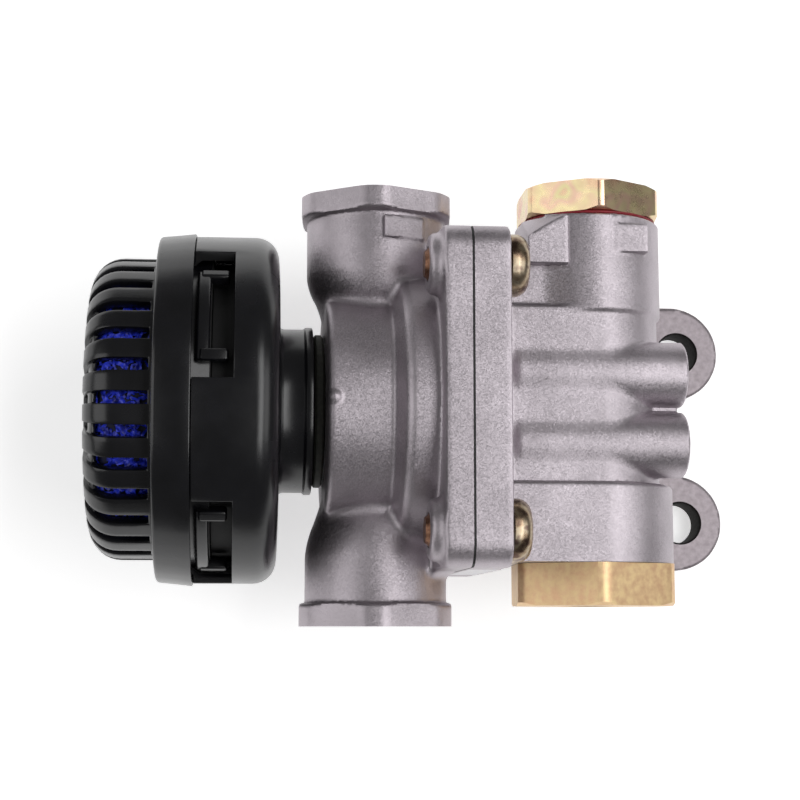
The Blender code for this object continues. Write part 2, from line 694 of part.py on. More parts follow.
def across(name, outline, low, high, chamfer=BLOCK_CHAMFER):
    """Prism of the upper casting along Y, from an outline in X and depth."""
    return prism(name, outline, low, high, chamfer, "cast_aluminium", (0, 0, 0), "Y")


def make_upper_body():
    root = UPPER_FLANGE_BACK - CUT_PAST
    body = square_flange("upper_body", UPPER_FACE, UPPER_FLANGE_BACK)

    def waist_outline(inset):
        return tongue(root, CROSS_STATION, WAIST_HALF_DEPTH, inset)

    def lower_block_outline(inset):
        return tongue(root, CROSS_STATION, LOWER_BLOCK_HALF_DEPTH, inset)

    waist = across("waist", waist_outline, WAIST_LOW, TOP_BOSS_LOW + CUT_PAST)
    lower_block = across("lower_block", lower_block_outline, LOWER_BLOCK_LOW, LOWER_BLOCK_HIGH)
    top_boss = turned("top_boss", [
        (TOP_BOSS_LOW, 0),
        (TOP_BOSS_LOW, TOP_BOSS_RADIUS - BLOCK_CHAMFER),
        (TOP_BOSS_LOW + BLOCK_CHAMFER, TOP_BOSS_RADIUS),
        (TOP_BOSS_HIGH - BLOCK_CHAMFER, TOP_BOSS_RADIUS),
        (TOP_BOSS_HIGH, TOP_BOSS_RADIUS - BLOCK_CHAMFER),
        (TOP_BOSS_HIGH, 0)], "cast_aluminium", (CROSS_STATION, 0, 0), "Y")
    web = block("top_web", (root, TOP_BOSS_LOW, -WEB_HALF_DEPTH),
                (CROSS_STATION, LEFT_PAD_LOW + CUT_PAST, WEB_HALF_DEPTH), "cast_aluminium")
    left_pad = block("left_pad", (CROSS_STATION - TOP_BOSS_RADIUS, LEFT_PAD_LOW, 0), (
        CROSS_STATION - LEFT_PAD_INNER, LEFT_PAD_HIGH, LEFT_PAD_HEIGHT), "cast_aluminium")
    right_pad = block("right_pad", (CROSS_STATION + RIGHT_PAD_INNER, RIGHT_PAD_LOW, 0), (
        CROSS_STATION + RIGHT_PAD_OUTER, RIGHT_PAD_HIGH, RIGHT_PAD_HEIGHT), "cast_aluminium")
    combine(body, "UNION", waist, lower_block, top_boss, web, left_pad, right_pad)

    for side in (1, -1):
        place = (0, side * NOZZLE_OFFSET, NOZZLE_HEIGHT)
        combine(body, "UNION", turned(f"nozzle_{side}", [
            (NOZZLE_START, 0),
            (NOZZLE_START, NOZZLE_RADIUS - BLOCK_CHAMFER),
            (NOZZLE_START + BLOCK_CHAMFER, NOZZLE_RADIUS),
            (NOZZLE_END - BLOCK_CHAMFER, NOZZLE_RADIUS),
            (NOZZLE_END, NOZZLE_RADIUS - BLOCK_CHAMFER),
            (NOZZLE_END, 0)], "cast_aluminium", place, "X", BORE_FACETS))

    foot_low = -AXIS_HEIGHT
    foot_high = foot_low + LUG_THICKNESS
    side_low = LUG_LOW + FOOT_OVERLAP
    side_high = LUG_HIGH - FOOT_OVERLAP
    middle = (side_low + side_high) / 2
    half_web = FOOT_WEB_THICKNESS / 2
    half_rib = FOOT_RIB_THICKNESS / 2
    plate = block("foot_plate", (FOOT_LEFT, side_low, foot_low), (
        FOOT_RIGHT, side_high, foot_high), "cast_aluminium")
    foot_web = block("foot_web", (FOOT_LEFT, middle - half_web, foot_high - CUT_PAST), (
        FOOT_RIGHT, middle + half_web, -WEB_HALF_DEPTH), "cast_aluminium")
    foot_rib = block("foot_rib", (CROSS_STATION - half_rib, side_low, foot_high - CUT_PAST), (
        CROSS_STATION + half_rib, side_high, -WEB_HALF_DEPTH), "cast_aluminium")
    combine(body, "UNION", plate, foot_web, foot_rib)

    def lug_outline(inset):
        return tongue(LUG_ROOT, LUG_STATION, LUG_RADIUS, inset)

    for name, height in (("lug_high", LUG_HIGH), ("lug_low", LUG_LOW)):
        lug = prism(name, lug_outline, foot_low, foot_high, BLOCK_CHAMFER, "cast_aluminium",
                    (0, height, 0))
        combine(body, "UNION", lug)

    cut_cross_bore(body)
    recess_end = UPPER_FACE + PISTON_RECESS_DEPTH
    machine(body, turned("piston_recess", [
        (UPPER_FACE - CUT_PAST, 0),
        (UPPER_FACE - CUT_PAST, PISTON_BORE_RADIUS),
        (recess_end, PISTON_BORE_RADIUS),
        (recess_end, CONTROL_PASSAGE_RADIUS),
        (CROSS_STATION, CONTROL_PASSAGE_RADIUS),
        (CROSS_STATION, 0)], "cast_aluminium", count=BORE_FACETS))
    for side in (1, -1):
        bore_floor = NOZZLE_END - NOZZLE_BORE_DEPTH
        place = (0, side * NOZZLE_OFFSET, NOZZLE_HEIGHT)
        machine(body, turned(f"nozzle_bore_{side}", [
            (recess_end - CUT_PAST, 0),
            (recess_end - CUT_PAST, CHANNEL_RADIUS),
            (bore_floor, CHANNEL_RADIUS),
            (bore_floor, NOZZLE_BORE_RADIUS),
            (NOZZLE_END + CUT_PAST, NOZZLE_BORE_RADIUS),
            (NOZZLE_END + CUT_PAST, 0)], "cast_aluminium", place, "X", SMALL_FACETS))
    for number, place in enumerate(screw_places(), 1):
        cut_screw_hole(body, f"upper_screw_hole_{number}", place, UPPER_FACE, UPPER_FLANGE_BACK)
    for name, height in (("lug_hole_high", LUG_HIGH), ("lug_hole_low", LUG_LOW)):
        start, end = foot_low - CUT_PAST, foot_high + CUT_PAST
        profile = [(start, 0), (start, LUG_HOLE_RADIUS), (end, LUG_HOLE_RADIUS), (end, 0)]
        machine(body, turned(name, profile, "cast_aluminium", (LUG_STATION, height, 0), "Z",
                             SMALL_FACETS))
    return body


def cut_cross_bore(body):
    """Stepped bore along Y that takes the plug, the shuttle and the brass fitting."""
    shelf = TOP_BOSS_HIGH - PLUG_BORE_DEPTH
    start, end = LOWER_BLOCK_LOW - CUT_PAST, TOP_BOSS_HIGH + CUT_PAST
    machine(body, turned("cross_bore", [
        (start, 0),
        (start, CROSS_BORE_RADIUS),
        (shelf, CROSS_BORE_RADIUS),
        (shelf, PLUG_BORE_RADIUS),
        (end, PLUG_BORE_RADIUS),
        (end, 0)], "cast_aluminium", (CROSS_STATION, 0, 0), "Y", BORE_FACETS))


def make_gasket():
    half = FLANGE_SIDE / 2

    def outline(inset):
        return rounded_rectangle((-half, -half), (half, half), FLANGE_CORNER, 0)

    half_thickness = GASKET_THICKNESS / 2
    gasket = prism("flange_gasket", outline, -half_thickness, half_thickness, 0, "black_rubber",
                   axis="X")
    start, end = -half_thickness - CUT_PAST, half_thickness + CUT_PAST
    combine(gasket, "DIFFERENCE", turned("gasket_opening", [
        (start, 0), (start, PISTON_BORE_RADIUS), (end, PISTON_BORE_RADIUS), (end, 0)],
        "black_rubber", count=BORE_FACETS))
    for number, place in enumerate(screw_places(), 1):
        cut_screw_hole(gasket, f"gasket_hole_{number}", place, -half_thickness, half_thickness)


def make_screw(number, place):
    """Pan head screw whose tip stands a little out of its boss."""
    under = UPPER_FLANGE_BACK + FACE_GAP
    top = under + SCREW_HEAD_HEIGHT
    tip = LOWER_FLANGE_BACK - SCREW_BOSS_HEIGHT - SCREW_STANDS_PROUD
    profile = [(tip, 0), (tip, SCREW_RADIUS - SCREW_TIP_CHAMFER),
               (tip + SCREW_TIP_CHAMFER, SCREW_RADIUS), (under, SCREW_RADIUS),
               (under, SCREW_HEAD_RADIUS), (under + SCREW_HEAD_RIM, SCREW_HEAD_RADIUS)]
    dome = SCREW_HEAD_HEIGHT - SCREW_HEAD_RIM
    for step in (1, 2):
        angle = math.pi / 2 * step / 2
        profile.append((under + SCREW_HEAD_RIM + dome * math.sin(angle),
                        SCREW_HEAD_RADIUS - dome * (1 - math.cos(angle))))
    profile.append((top, 0))
    screw = turned(f"flange_screw_{number}", profile, "gold_zinc", place, "X", SMALL_FACETS)
    flats = SCREW_SOCKET_FLATS
    rings = [[Vector((flats / math.sqrt(3) * math.cos(math.pi / 3 * side),
                      flats / math.sqrt(3) * math.sin(math.pi / 3 * side), station))
              for side in range(6)] for station in (top - SCREW_SOCKET_DEPTH, top + CUT_PAST)]
    combine(screw, "DIFFERENCE", skin(f"screw_socket_{number}", rings, "gold_zinc", place))


def make_valve_guide():
    """Insert that closes the lower casting and guides the valve tube."""
    bore = TUBE_RADIUS + FIT_GAP
    seal_centre = (GUIDE_SHOULDER + GUIDE_RIGHT) / 2
    outer_bottom = GUIDE_BORE_RADIUS - SEAL_GROOVE_DEPTH - FACE_GAP
    inner_bottom = TUBE_RADIUS + SEAL_GROOVE_DEPTH + FACE_GAP
    outer_left, outer_right = groove(outer_bottom, seal_centre)
    inner_left, inner_right = groove(inner_bottom, seal_centre)
    mouth_floor = BARREL_END + GUIDE_MOUTH_DEPTH
    turned("valve_guide", [
        (BARREL_END, GUIDE_MOUTH_RADIUS),
        (BARREL_END, GUIDE_COLLAR_RADIUS),
        (GUIDE_SHOULDER, GUIDE_COLLAR_RADIUS),
        (GUIDE_SHOULDER, GUIDE_RADIUS),
        (outer_left[0], GUIDE_RADIUS), outer_left,
        outer_right, (outer_right[0], GUIDE_RADIUS),
        (GUIDE_RIGHT, GUIDE_RADIUS),
        (GUIDE_RIGHT, bore),
        (inner_right[0], bore), inner_right,
        inner_left, (inner_left[0], bore),
        (mouth_floor, bore),
        (mouth_floor, GUIDE_MOUTH_RADIUS)], "turned_aluminium", count=BORE_FACETS)
    seal_ring("guide_seal", seal_centre, outer_bottom + FACE_GAP / 2)
    seal_ring("tube_seal", seal_centre, inner_bottom - 2 * SEAL_SECTION_RADIUS - FACE_GAP / 2)


def make_retaining_ring():
    """Split spring ring in the groove of the casting."""
    inner = GUIDE_COLLAR_RADIUS + FIT_GAP
    outer = GUIDE_BORE_RADIUS + RETAINING_RING_BITE - FIT_GAP
    ring = turned("retaining_ring", [
        (RING_LEFT, inner), (RING_LEFT, outer),
        (RING_LEFT + RETAINING_RING_WIDTH, outer), (RING_LEFT + RETAINING_RING_WIDTH, inner)],
        "spring_steel", count=BORE_FACETS)
    half_gap = outer * math.sin(math.radians(RETAINING_RING_GAP / 2))
    combine(ring, "DIFFERENCE", block("ring_gap", (RING_LEFT - CUT_PAST, -half_gap, 0), (
        RING_LEFT + RETAINING_RING_WIDTH + CUT_PAST, half_gap, outer + CUT_PAST), "spring_steel"))


def make_valve():
    """Valve tube with its rubber disc and spring. The tube's own origin is at the seat."""
    seat = Vector((SEAT_FACE, 0, 0))
    tail = GUIDE_SHOULDER - TUBE_TAIL
    turned("valve_tube", [
        (tail - SEAT_FACE, TUBE_BORE_RADIUS),
        (tail - SEAT_FACE, TUBE_RADIUS),
        (HEAD_LEFT - SEAT_FACE, TUBE_RADIUS),
        (HEAD_LEFT - SEAT_FACE, VALVE_HEAD_RADIUS),
        (HEAD_RIGHT - SEAT_FACE, VALVE_HEAD_RADIUS),
        (HEAD_RIGHT - SEAT_FACE, TUBE_SPIGOT_RADIUS),
        (DISC_RIGHT - FIT_GAP - SEAT_FACE, TUBE_SPIGOT_RADIUS),
        (DISC_RIGHT - FIT_GAP - SEAT_FACE, TUBE_BORE_RADIUS)], "turned_aluminium", seat,
        count=BORE_FACETS)
    disc_bore = TUBE_SPIGOT_RADIUS + FIT_GAP
    turned("valve_disc", [
        (DISC_LEFT - SEAT_FACE, disc_bore),
        (DISC_LEFT - SEAT_FACE, VALVE_HEAD_RADIUS),
        (DISC_RIGHT - SEAT_FACE, VALVE_HEAD_RADIUS),
        (DISC_RIGHT - SEAT_FACE, disc_bore)], "black_rubber", seat, count=BORE_FACETS)
    coil_spring("valve_spring", GUIDE_RIGHT + FIT_GAP, HEAD_LEFT - FIT_GAP, VALVE_SPRING_RADIUS,
                VALVE_SPRING_WIRE, VALVE_SPRING_TURNS, "spring_steel", (0, 0, 0), "X")


def make_relay_piston():
    """Piston whose hollow stem closes the exhaust before it lifts the valve disc."""
    origin = Vector((PISTON_LEFT, 0, 0))
    seal_centre = PISTON_LEFT + PISTON_SEAL_SETBACK + SEAL_GROOVE_WIDTH / 2
    groove_bottom = PISTON_BORE_RADIUS - SEAL_GROOVE_DEPTH - FACE_GAP
    left, right = groove(groove_bottom, seal_centre)
    pocket_radius = PISTON_RADIUS - PISTON_TOP_WALL
    pocket_floor = PISTON_RIGHT - PISTON_TOP_POCKET
    cup_radius = PISTON_STEM_RADIUS - PISTON_LIP_WIDTH
    profile = [
        (PISTON_LIP + PISTON_CUP_DEPTH, 0),
        (PISTON_LIP + PISTON_CUP_DEPTH, cup_radius),
        (PISTON_LIP, cup_radius),
        (PISTON_LIP, PISTON_STEM_RADIUS),
        (PISTON_LEFT, PISTON_STEM_RADIUS),
        (PISTON_LEFT, PISTON_RADIUS),
        (left[0], PISTON_RADIUS), left, right, (right[0], PISTON_RADIUS),
        (PISTON_RIGHT, PISTON_RADIUS),
        (PISTON_RIGHT, pocket_radius),
        (pocket_floor, pocket_radius),
        (pocket_floor, PISTON_STEM_RADIUS),
        (PISTON_RIGHT, PISTON_STEM_RADIUS),
        (PISTON_RIGHT, 0)]
    shifted = [(station - PISTON_LEFT, radius) for station, radius in profile]
    turned("relay_piston", shifted, "turned_aluminium", origin, count=BORE_FACETS)
    seal_ring("piston_seal", seal_centre - PISTON_LEFT, groove_bottom + FACE_GAP / 2, origin)


def make_neck_seal():
    left = BARREL_END - FIT_GAP - NECK_SEAL_THICKNESS
    right = BARREL_END - FIT_GAP
    turned("neck_seal", [
        (left, GUIDE_MOUTH_RADIUS), (left, NECK_SEAL_RADIUS),
        (right, NECK_SEAL_RADIUS), (right, GUIDE_MOUTH_RADIUS)], "grey_seal",
        count=BORE_FACETS)


def make_silencer_housing():
    """Moulded cup with a neck at the valve and four windows beside the cage's collar."""
    edge = HOUSING_EDGE_RADIUS
    wall = HOUSING_WALL
    inner = HOUSING_RADIUS - wall
    rim_inner = HOUSING_RIM_RADIUS - SLEEVE_WALL
    window_right = HOUSING_LEFT + WINDOW_LENGTH
    window_left = HOUSING_LEFT - WINDOW_UNDER_COLLAR
    spigot_end = NECK_RIGHT + SPIGOT_LENGTH
    arc = [math.pi / 2 * step / 3 for step in range(4)]
    outer_rows = [
        (spigot_end, SPIGOT_RADIUS),
        (NECK_RIGHT, SPIGOT_RADIUS),
        (NECK_RIGHT, NECK_LIP_RADIUS),
        (NECK_RIGHT - NECK_LIP_LENGTH, NECK_LIP_RADIUS),
        (NECK_RIGHT - NECK_LIP_LENGTH, NECK_RADIUS),
        (NECK_LEFT + NECK_ROOT_CHAMFER, NECK_RADIUS),
        (NECK_LEFT, NECK_RADIUS + NECK_ROOT_CHAMFER)]
    inner_rows = [(spigot_end, SPIGOT_BORE_RADIUS)]
    inner_rows += [(NECK_LEFT - wall, SPIGOT_BORE_RADIUS)] * (len(outer_rows) - 1)
    inner_edge = edge - wall
    outer_rows += [(NECK_LEFT - edge * (1 - math.cos(a)), HOUSING_RADIUS - edge * (1 - math.sin(a)))
                   for a in arc]
    inner_rows += [(NECK_LEFT - wall - inner_edge * (1 - math.cos(a)),
                    inner - inner_edge * (1 - math.sin(a))) for a in arc]
    step_in = HOUSING_LEFT + WINDOW_UNDER_COLLAR
    outer_rows += [(window_right, HOUSING_RADIUS), (HOUSING_LEFT, HOUSING_RADIUS),
                   (HOUSING_LEFT, HOUSING_RIM_RADIUS), (window_left, HOUSING_RIM_RADIUS),
                   (RIM_LEFT, HOUSING_RIM_RADIUS)]
    inner_rows += [(window_right, inner), (step_in, inner), (HOUSING_LEFT, rim_inner),
                   (window_left, rim_inner), (RIM_LEFT, rim_inner)]
    first_window_row = len(outer_rows) - 5
    last_window_row = len(outer_rows) - 3
    columns = HOUSING_FACETS
    step = 2 * math.pi / columns
    first_angle = math.radians(WINDOW_FIRST_ANGLE - WINDOW_ANGLE / 2)
    window_columns = round(math.radians(WINDOW_ANGLE) / step)
    columns_per_window = columns // WINDOW_COUNT
    angles = [viewer_angle(first_angle + index * step) for index in range(columns)]

    def level_of(row, column):
        in_rows = first_window_row <= row <= last_window_row
        in_window = column % columns_per_window < window_columns
        return 0 if in_rows and in_window else 1

    stepped_shell("silencer_housing", [inner_rows, outer_rows], angles, level_of, "black_plastic")


def viewer_angle(angle):
    """Angle about the drawn axis of a direction measured from +Z towards +Y."""
    return math.pi - angle


def make_silencer_cage():
    """Slotted cap with a collar over the housing's rim and a sleeve with snap hooks in it."""
    radius, wall, shoulder = CAGE_RADIUS, CAGE_WALL, CAGE_SHOULDER_RADIUS
    corner_radius = radius - shoulder
    corner_station = CAGE_TIP + CAGE_DOME + shoulder
    sleeve_inner = SLEEVE_RADIUS - SLEEVE_WALL
    collar_floor = COLLAR_LEFT + COLLAR_BACK
    sleeve_end = COLLAR_RIGHT + SLEEVE_STANDS_PAST
    dome_at_groove = CAGE_TIP + CAGE_DOME * (CAGE_GROOVE_START_RADIUS / corner_radius) ** 2

    def front_rows(depth):
        rows = [(CAGE_TIP + depth, 0), (dome_at_groove + depth, CAGE_GROOVE_START_RADIUS)]
        for angle in (0, SLOT_OPENS_AT / 2, SLOT_OPENS_AT, 90):
            turn = math.radians(angle)
            reach = shoulder - depth
            rows.append((corner_station - reach * math.cos(turn),
                         corner_radius + reach * math.sin(turn)))
        rows.append((COLLAR_LEFT - SLOT_STOPS_SHORT, radius - depth))
        return rows

    outer_rows = front_rows(0) + [
        (COLLAR_LEFT, radius),
        (COLLAR_LEFT, COLLAR_SMALL_RADIUS - COLLAR_EDGE),
        (COLLAR_LEFT + COLLAR_EDGE, COLLAR_SMALL_RADIUS),
        (COLLAR_RIGHT, COLLAR_LARGE_RADIUS),
        (COLLAR_RIGHT, COLLAR_BORE_RADIUS),
        (collar_floor, COLLAR_BORE_RADIUS),
        (collar_floor, SLEEVE_RADIUS),
        (sleeve_end, SLEEVE_RADIUS)]
    tail_count = len(outer_rows) - len(front_rows(0))
    inner_tail = [(COLLAR_LEFT, radius - wall)]
    inner_tail += [(collar_floor, sleeve_inner)] * (tail_count - 2)
    inner_tail += [(sleeve_end, sleeve_inner)]
    inner_rows = front_rows(wall) + inner_tail
    floor_rows = front_rows(CAGE_GROOVE_DEPTH) + inner_tail
    slot = math.radians(SLOT_ANGLE)
    pitch = 2 * math.pi / SLOT_COUNT
    first = math.radians(SLOT_FIRST_ANGLE) - slot / 2
    angles = []
    for index in range(SLOT_COUNT):
        angles += [viewer_angle(first + index * pitch), viewer_angle(first + index * pitch + slot)]
    groove_rows = (1, 2, 3)
    slot_rows = (4, 5)

    def level_of(row, column):
        if column % 2 == 0 and row in slot_rows:
            return 0
        if column % 2 == 0 and row in groove_rows:
            return 1
        return 2

    layers = [inner_rows, floor_rows, outer_rows]
    cage = stepped_shell("silencer_cage", layers, angles, level_of, "black_plastic")
    for window in range(WINDOW_COUNT):
        centre = WINDOW_FIRST_ANGLE + window * 360 / WINDOW_COUNT
        for side in (-1, 1):
            arm = hook_arm(f"hook_arm_{window}_{side}", centre + side * HOOK_ARM_SPREAD, sleeve_end)
            combine(cage, "UNION", arm)


def hook_arm(name, angle, sleeve_end):
    """Springy finger of the sleeve with a barb that stands into its window."""
    inner = SLEEVE_RADIUS - SLEEVE_WALL + FIT_GAP / 2
    outer = SLEEVE_RADIUS - FIT_GAP / 2
    barb_start = sleeve_end + HOOK_LENGTH / 2
    end = sleeve_end + HOOK_LENGTH
    profile = [(sleeve_end - CUT_PAST, inner), (sleeve_end - CUT_PAST, outer), (barb_start, outer),
               (barb_start, outer + HOOK_BARB), (end, outer), (end, inner)]
    half = math.radians(HOOK_ARM_ANGLE / 2)
    rings = []
    for turn in (-half, half):
        around = viewer_angle(math.radians(angle) + turn)
        rings.append([Vector((radius * math.cos(around), radius * math.sin(around), station))
                      for station, radius in profile])
    return skin(name, rings, "black_plastic")


def make_silencer_pad():
    """Blue mesh filling of the cage, hollow towards the neck."""
    outer = min(CAGE_RADIUS - CAGE_WALL, SLEEVE_RADIUS - SLEEVE_WALL) - FIT_GAP
    shoulder = CAGE_SHOULDER_RADIUS - CAGE_WALL
    front = CAGE_TIP + CAGE_DOME + CAGE_WALL + FIT_GAP
    back = NECK_LEFT - HOUSING_WALL - FIT_GAP
    turned("silencer_pad", [
        (front, 0),
        (front, outer - shoulder),
        (front + shoulder, outer),
        (back, outer),
        (back, PAD_BORE_RADIUS),
        (front + PAD_FRONT, PAD_BORE_RADIUS),
        (front + PAD_FRONT, 0)], "blue_mesh", count=BORE_FACETS)


def make_hex_plug():
    """Zinc plated plug with a round shank, and the washer under its hexagon."""
    origin = (CROSS_STATION, 0, 0)
    shank = SHUTTLE_RADIUS
    thread = PLUG_BORE_RADIUS - FIT_GAP
    thread_end = TOP_BOSS_HIGH - PLUG_BORE_DEPTH + FIT_GAP
    rows = [(PLUG_END + PLUG_POCKET_DEPTH, 0), (PLUG_END + PLUG_POCKET_DEPTH, PLUG_POCKET_RADIUS),
            (PLUG_END, PLUG_POCKET_RADIUS), (PLUG_END, shank), (thread_end, shank),
            (thread_end, thread), (PLUG_SEAT, thread)]
    rings = [circle(station, radius, BORE_FACETS) for station, radius in rows]
    rings += hexagon_rings(PLUG_SEAT, PLUG_TOP, PLUG_FLATS, PLUG_CORNER_RADIUS,
                           math.radians(PLUG_TURN), True, True)
    skin("hex_plug", rings, "gold_zinc", origin, "Y")
    low = TOP_BOSS_HIGH + FACE_GAP
    high = low + WASHER_THICKNESS
    inner = thread + FIT_GAP
    turned("plug_washer", [
        (low, inner), (low, WASHER_RADIUS), (high, WASHER_RADIUS), (high, inner)],
        "red_fibre", origin, "Y", BORE_FACETS)


def make_brass_fitting():
    """Threaded fitting with an open bore, and the seal ring round its shank."""
    origin = (CROSS_STATION, 0, 0)
    shank = CROSS_BORE_RADIUS - FIT_GAP
    bottom = FITTING_SEAT - FITTING_HEX_HEIGHT
    seal_centre = FITTING_END - FITTING_GROOVE_SETBACK
    groove_bottom = CROSS_BORE_RADIUS - SEAL_GROOVE_DEPTH - FACE_GAP
    left, right = groove(groove_bottom, seal_centre)
    rings = hexagon_rings(bottom, FITTING_SEAT, FITTING_FLATS, FITTING_CORNER_RADIUS,
                          math.radians(FITTING_TURN), True, False)
    rows = [(FITTING_SEAT, shank), (left[0], shank), left, right, (right[0], shank),
            (FITTING_END, shank), (FITTING_END, FITTING_BORE_RADIUS), (bottom, FITTING_BORE_RADIUS)]
    rings += [circle(station, radius, BORE_FACETS) for station, radius in rows]
    skin("brass_fitting", rings, "brass", origin, "Y", closed=True)
    seal_ring("fitting_seal", seal_centre, groove_bottom + FACE_GAP / 2, origin, "Y")


def make_shuttle():
    """Cup shaped shuttle, its seal ring, and the spring between it and the plug."""
    origin = Vector((CROSS_STATION, SHUTTLE_LOW, 0))
    seal_centre = SHUTTLE_SEAL_SETBACK + SEAL_GROOVE_WIDTH / 2
    groove_bottom = CROSS_BORE_RADIUS - SEAL_GROOVE_DEPTH - FACE_GAP
    left, right = groove(groove_bottom, seal_centre)
    cup = SHUTTLE_RADIUS - SHUTTLE_WALL
    turned("shuttle", [
        (0, 0), (0, SHUTTLE_RADIUS),
        (left[0], SHUTTLE_RADIUS), left, right, (right[0], SHUTTLE_RADIUS),
        (SHUTTLE_LENGTH, SHUTTLE_RADIUS), (SHUTTLE_LENGTH, cup),
        (SHUTTLE_HEAD + SHUTTLE_WALL, cup), (SHUTTLE_HEAD + SHUTTLE_WALL, 0)],
        "turned_aluminium", origin, "Y", BORE_FACETS)
    seal_ring("shuttle_seal", seal_centre, groove_bottom + FACE_GAP / 2, origin, "Y")
    coil_spring("shuttle_spring", SHUTTLE_LOW + SHUTTLE_HEAD + SHUTTLE_WALL + FIT_GAP,
                PLUG_END + PLUG_POCKET_DEPTH - FIT_GAP, SHUTTLE_SPRING_RADIUS,
                SHUTTLE_SPRING_WIRE, SHUTTLE_SPRING_TURNS, "spring_steel",
                (CROSS_STATION, 0, 0), "Y")


def build():
    make_lower_body()
    make_upper_body()
    make_gasket()
    for number, place in enumerate(screw_places(), 1):
        make_screw(number, place)
    make_valve_guide()
    make_retaining_ring()
    make_valve()
    make_relay_piston()
    make_neck_seal()
    make_silencer_housing()
    make_silencer_cage()
    make_silencer_pad()
    make_hex_plug()
    make_brass_fitting()
    make_shuttle()


clear_scene()
VALVE = bpy.data.objects.new("valve_axis", None)
VALVE.location = (
    -(CAGE_TIP + LUG_RIGHT) / 2,
    -(PLUG_TOP - PORT_REACH) / 2,
    AXIS_HEIGHT)
bpy.context.scene.collection.objects.link(VALVE)
build()
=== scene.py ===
"""Looks of a quick exhaust valve with a black silencer, lying on the backs of its lugs.

Shapes are drawn in millimetres about the valve axis: x along the axis from the joint of the two
castings, y towards the hexagon plug, z away from the mounting lugs.
"""

import json
import math
import random

import bmesh
import bpy
import numpy as np
from mathutils import Matrix, Vector


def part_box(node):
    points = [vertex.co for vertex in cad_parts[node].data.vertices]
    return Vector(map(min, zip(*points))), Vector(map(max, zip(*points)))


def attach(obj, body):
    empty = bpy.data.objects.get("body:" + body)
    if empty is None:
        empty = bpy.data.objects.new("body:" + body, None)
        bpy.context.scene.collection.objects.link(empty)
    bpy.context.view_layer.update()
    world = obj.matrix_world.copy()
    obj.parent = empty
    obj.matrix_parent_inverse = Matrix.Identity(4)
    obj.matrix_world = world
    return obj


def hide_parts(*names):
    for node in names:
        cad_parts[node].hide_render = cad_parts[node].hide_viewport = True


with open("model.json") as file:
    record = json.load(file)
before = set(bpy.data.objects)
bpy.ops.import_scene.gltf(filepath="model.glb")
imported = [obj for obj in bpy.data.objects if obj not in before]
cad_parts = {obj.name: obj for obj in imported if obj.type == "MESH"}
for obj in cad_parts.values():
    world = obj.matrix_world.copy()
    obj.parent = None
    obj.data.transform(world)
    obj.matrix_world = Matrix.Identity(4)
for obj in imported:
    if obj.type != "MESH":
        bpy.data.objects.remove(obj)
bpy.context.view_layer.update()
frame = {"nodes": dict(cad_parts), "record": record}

MM = 0.001
gasket_low, gasket_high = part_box("flange_gasket")
VALVE = (gasket_low + gasket_high) / 2


def valve_box(node):
    """Corners of a CAD node in millimetres from the valve axis."""
    low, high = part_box(node)
    return (low - VALVE) / MM, (high - VALVE) / MM


LOWER_HIGH = valve_box("lower_body")[1]
UPPER_LOW, UPPER_HIGH = valve_box("upper_body")
HOUSING_HIGH = valve_box("silencer_housing")[1]
SEAL_LOW, SEAL_HIGH = valve_box("neck_seal")
PLUG_LOW, PLUG_HIGH = valve_box("hex_plug")
WASHER_LOW, WASHER_HIGH = valve_box("plug_washer")
FITTING_LOW, FITTING_HIGH = valve_box("brass_fitting")
SCREW_LOW = valve_box("flange_screw_1")[0]
PAD_HIGH = valve_box("silencer_pad")[1]

# Castings, and the cells and margins that their surfaces are drawn with
LOWER_CELL = 0.5
UPPER_CELL = 0.6
MACHINED_DEPTH = 0.15
ROOM = 1.5
PAST_CUT = 2.0
FLANGE_HALF = 39.75
FLANGE_CORNER = 6.0
FLANGE_EDGE = 0.8
LOWER_FLANGE = 6.2
UPPER_FLANGE = 8.6
SCREW_OFFSET = 31.1
SCREW_HOLE = 4.2
BARREL = 28.0
BARREL_END = SEAL_HIGH.x + 0.3
BARREL_EDGE = 1.6
BELL = 34.4
BELL_START = LOWER_HIGH.x - 16.6
BELL_SLOPE = 2.6
BOSS_STATION = -19.4
BOSS = 17.4
BOSS_ROOT = 11.8
BULB_END = (22.4, 22.2)
BULB_START = (30.6, 30.4)
BULB_ROUND = (2.0, 3.6)
PORT_REACH = LOWER_HIGH.y
PORT_BORE = 10.2
PORT_BORE_DEPTH = 20.0
PORT_MOUTH = 1.0
THREAD_PITCH = 1.5
HEX_SLANT = 25.0
PORT_HEX = 37.0
PORT_HEX_CORNER = 19.9
PORT_HEX_HEIGHT = 5.7
PORT_HEX_TURN = 5.0
SCREW_HEAD = 7.4
SCREW_HEAD_HEIGHT = 4.9
SCREW_RIM = 1.6
SCREW_CROWN = 3.0
SCREW_TIP = SCREW_LOW.x + 0.8
SCREW_PITCH = 1.25
SCREW_ROOT = 3.3
SCREW_CREST = 3.9
SOCKET = 2.9
SOCKET_DEPTH = 3.0
SCREW_BOSS = 7.2
SCREW_BOSS_HEIGHT = 3.2
PISTON_BORE = 29.5
PISTON_BORE_DEPTH = 9.0
PISTON_RECESS = 2.6
SEAT_WALL = 2.6
SEAT_BORE = 12.5
GUIDE_BORE = 18.6
SUPPLY_PASSAGE = 6.5
PORT_PAD_LEFT = 0.6
PORT_PAD_RIGHT = 10.6
PORT_PAD_HEIGHT = 6.6
PORT_PAD_REACH = 17.5
PORT_PAD_LEAN = 25.0
PORT_PAD_GAP = 1.2
PIP = 1.3
PIP_SHIFT = 1.6
PIP_SINK = 0.5
CROSS_STATION = (PLUG_LOW.x + PLUG_HIGH.x) / 2
WAIST = 17.3
WAIST_LOW = -21.0
BLOCK = 20.4
BLOCK_LOW = FITTING_LOW.y + 10.3
BLOCK_HIGH = -18.55
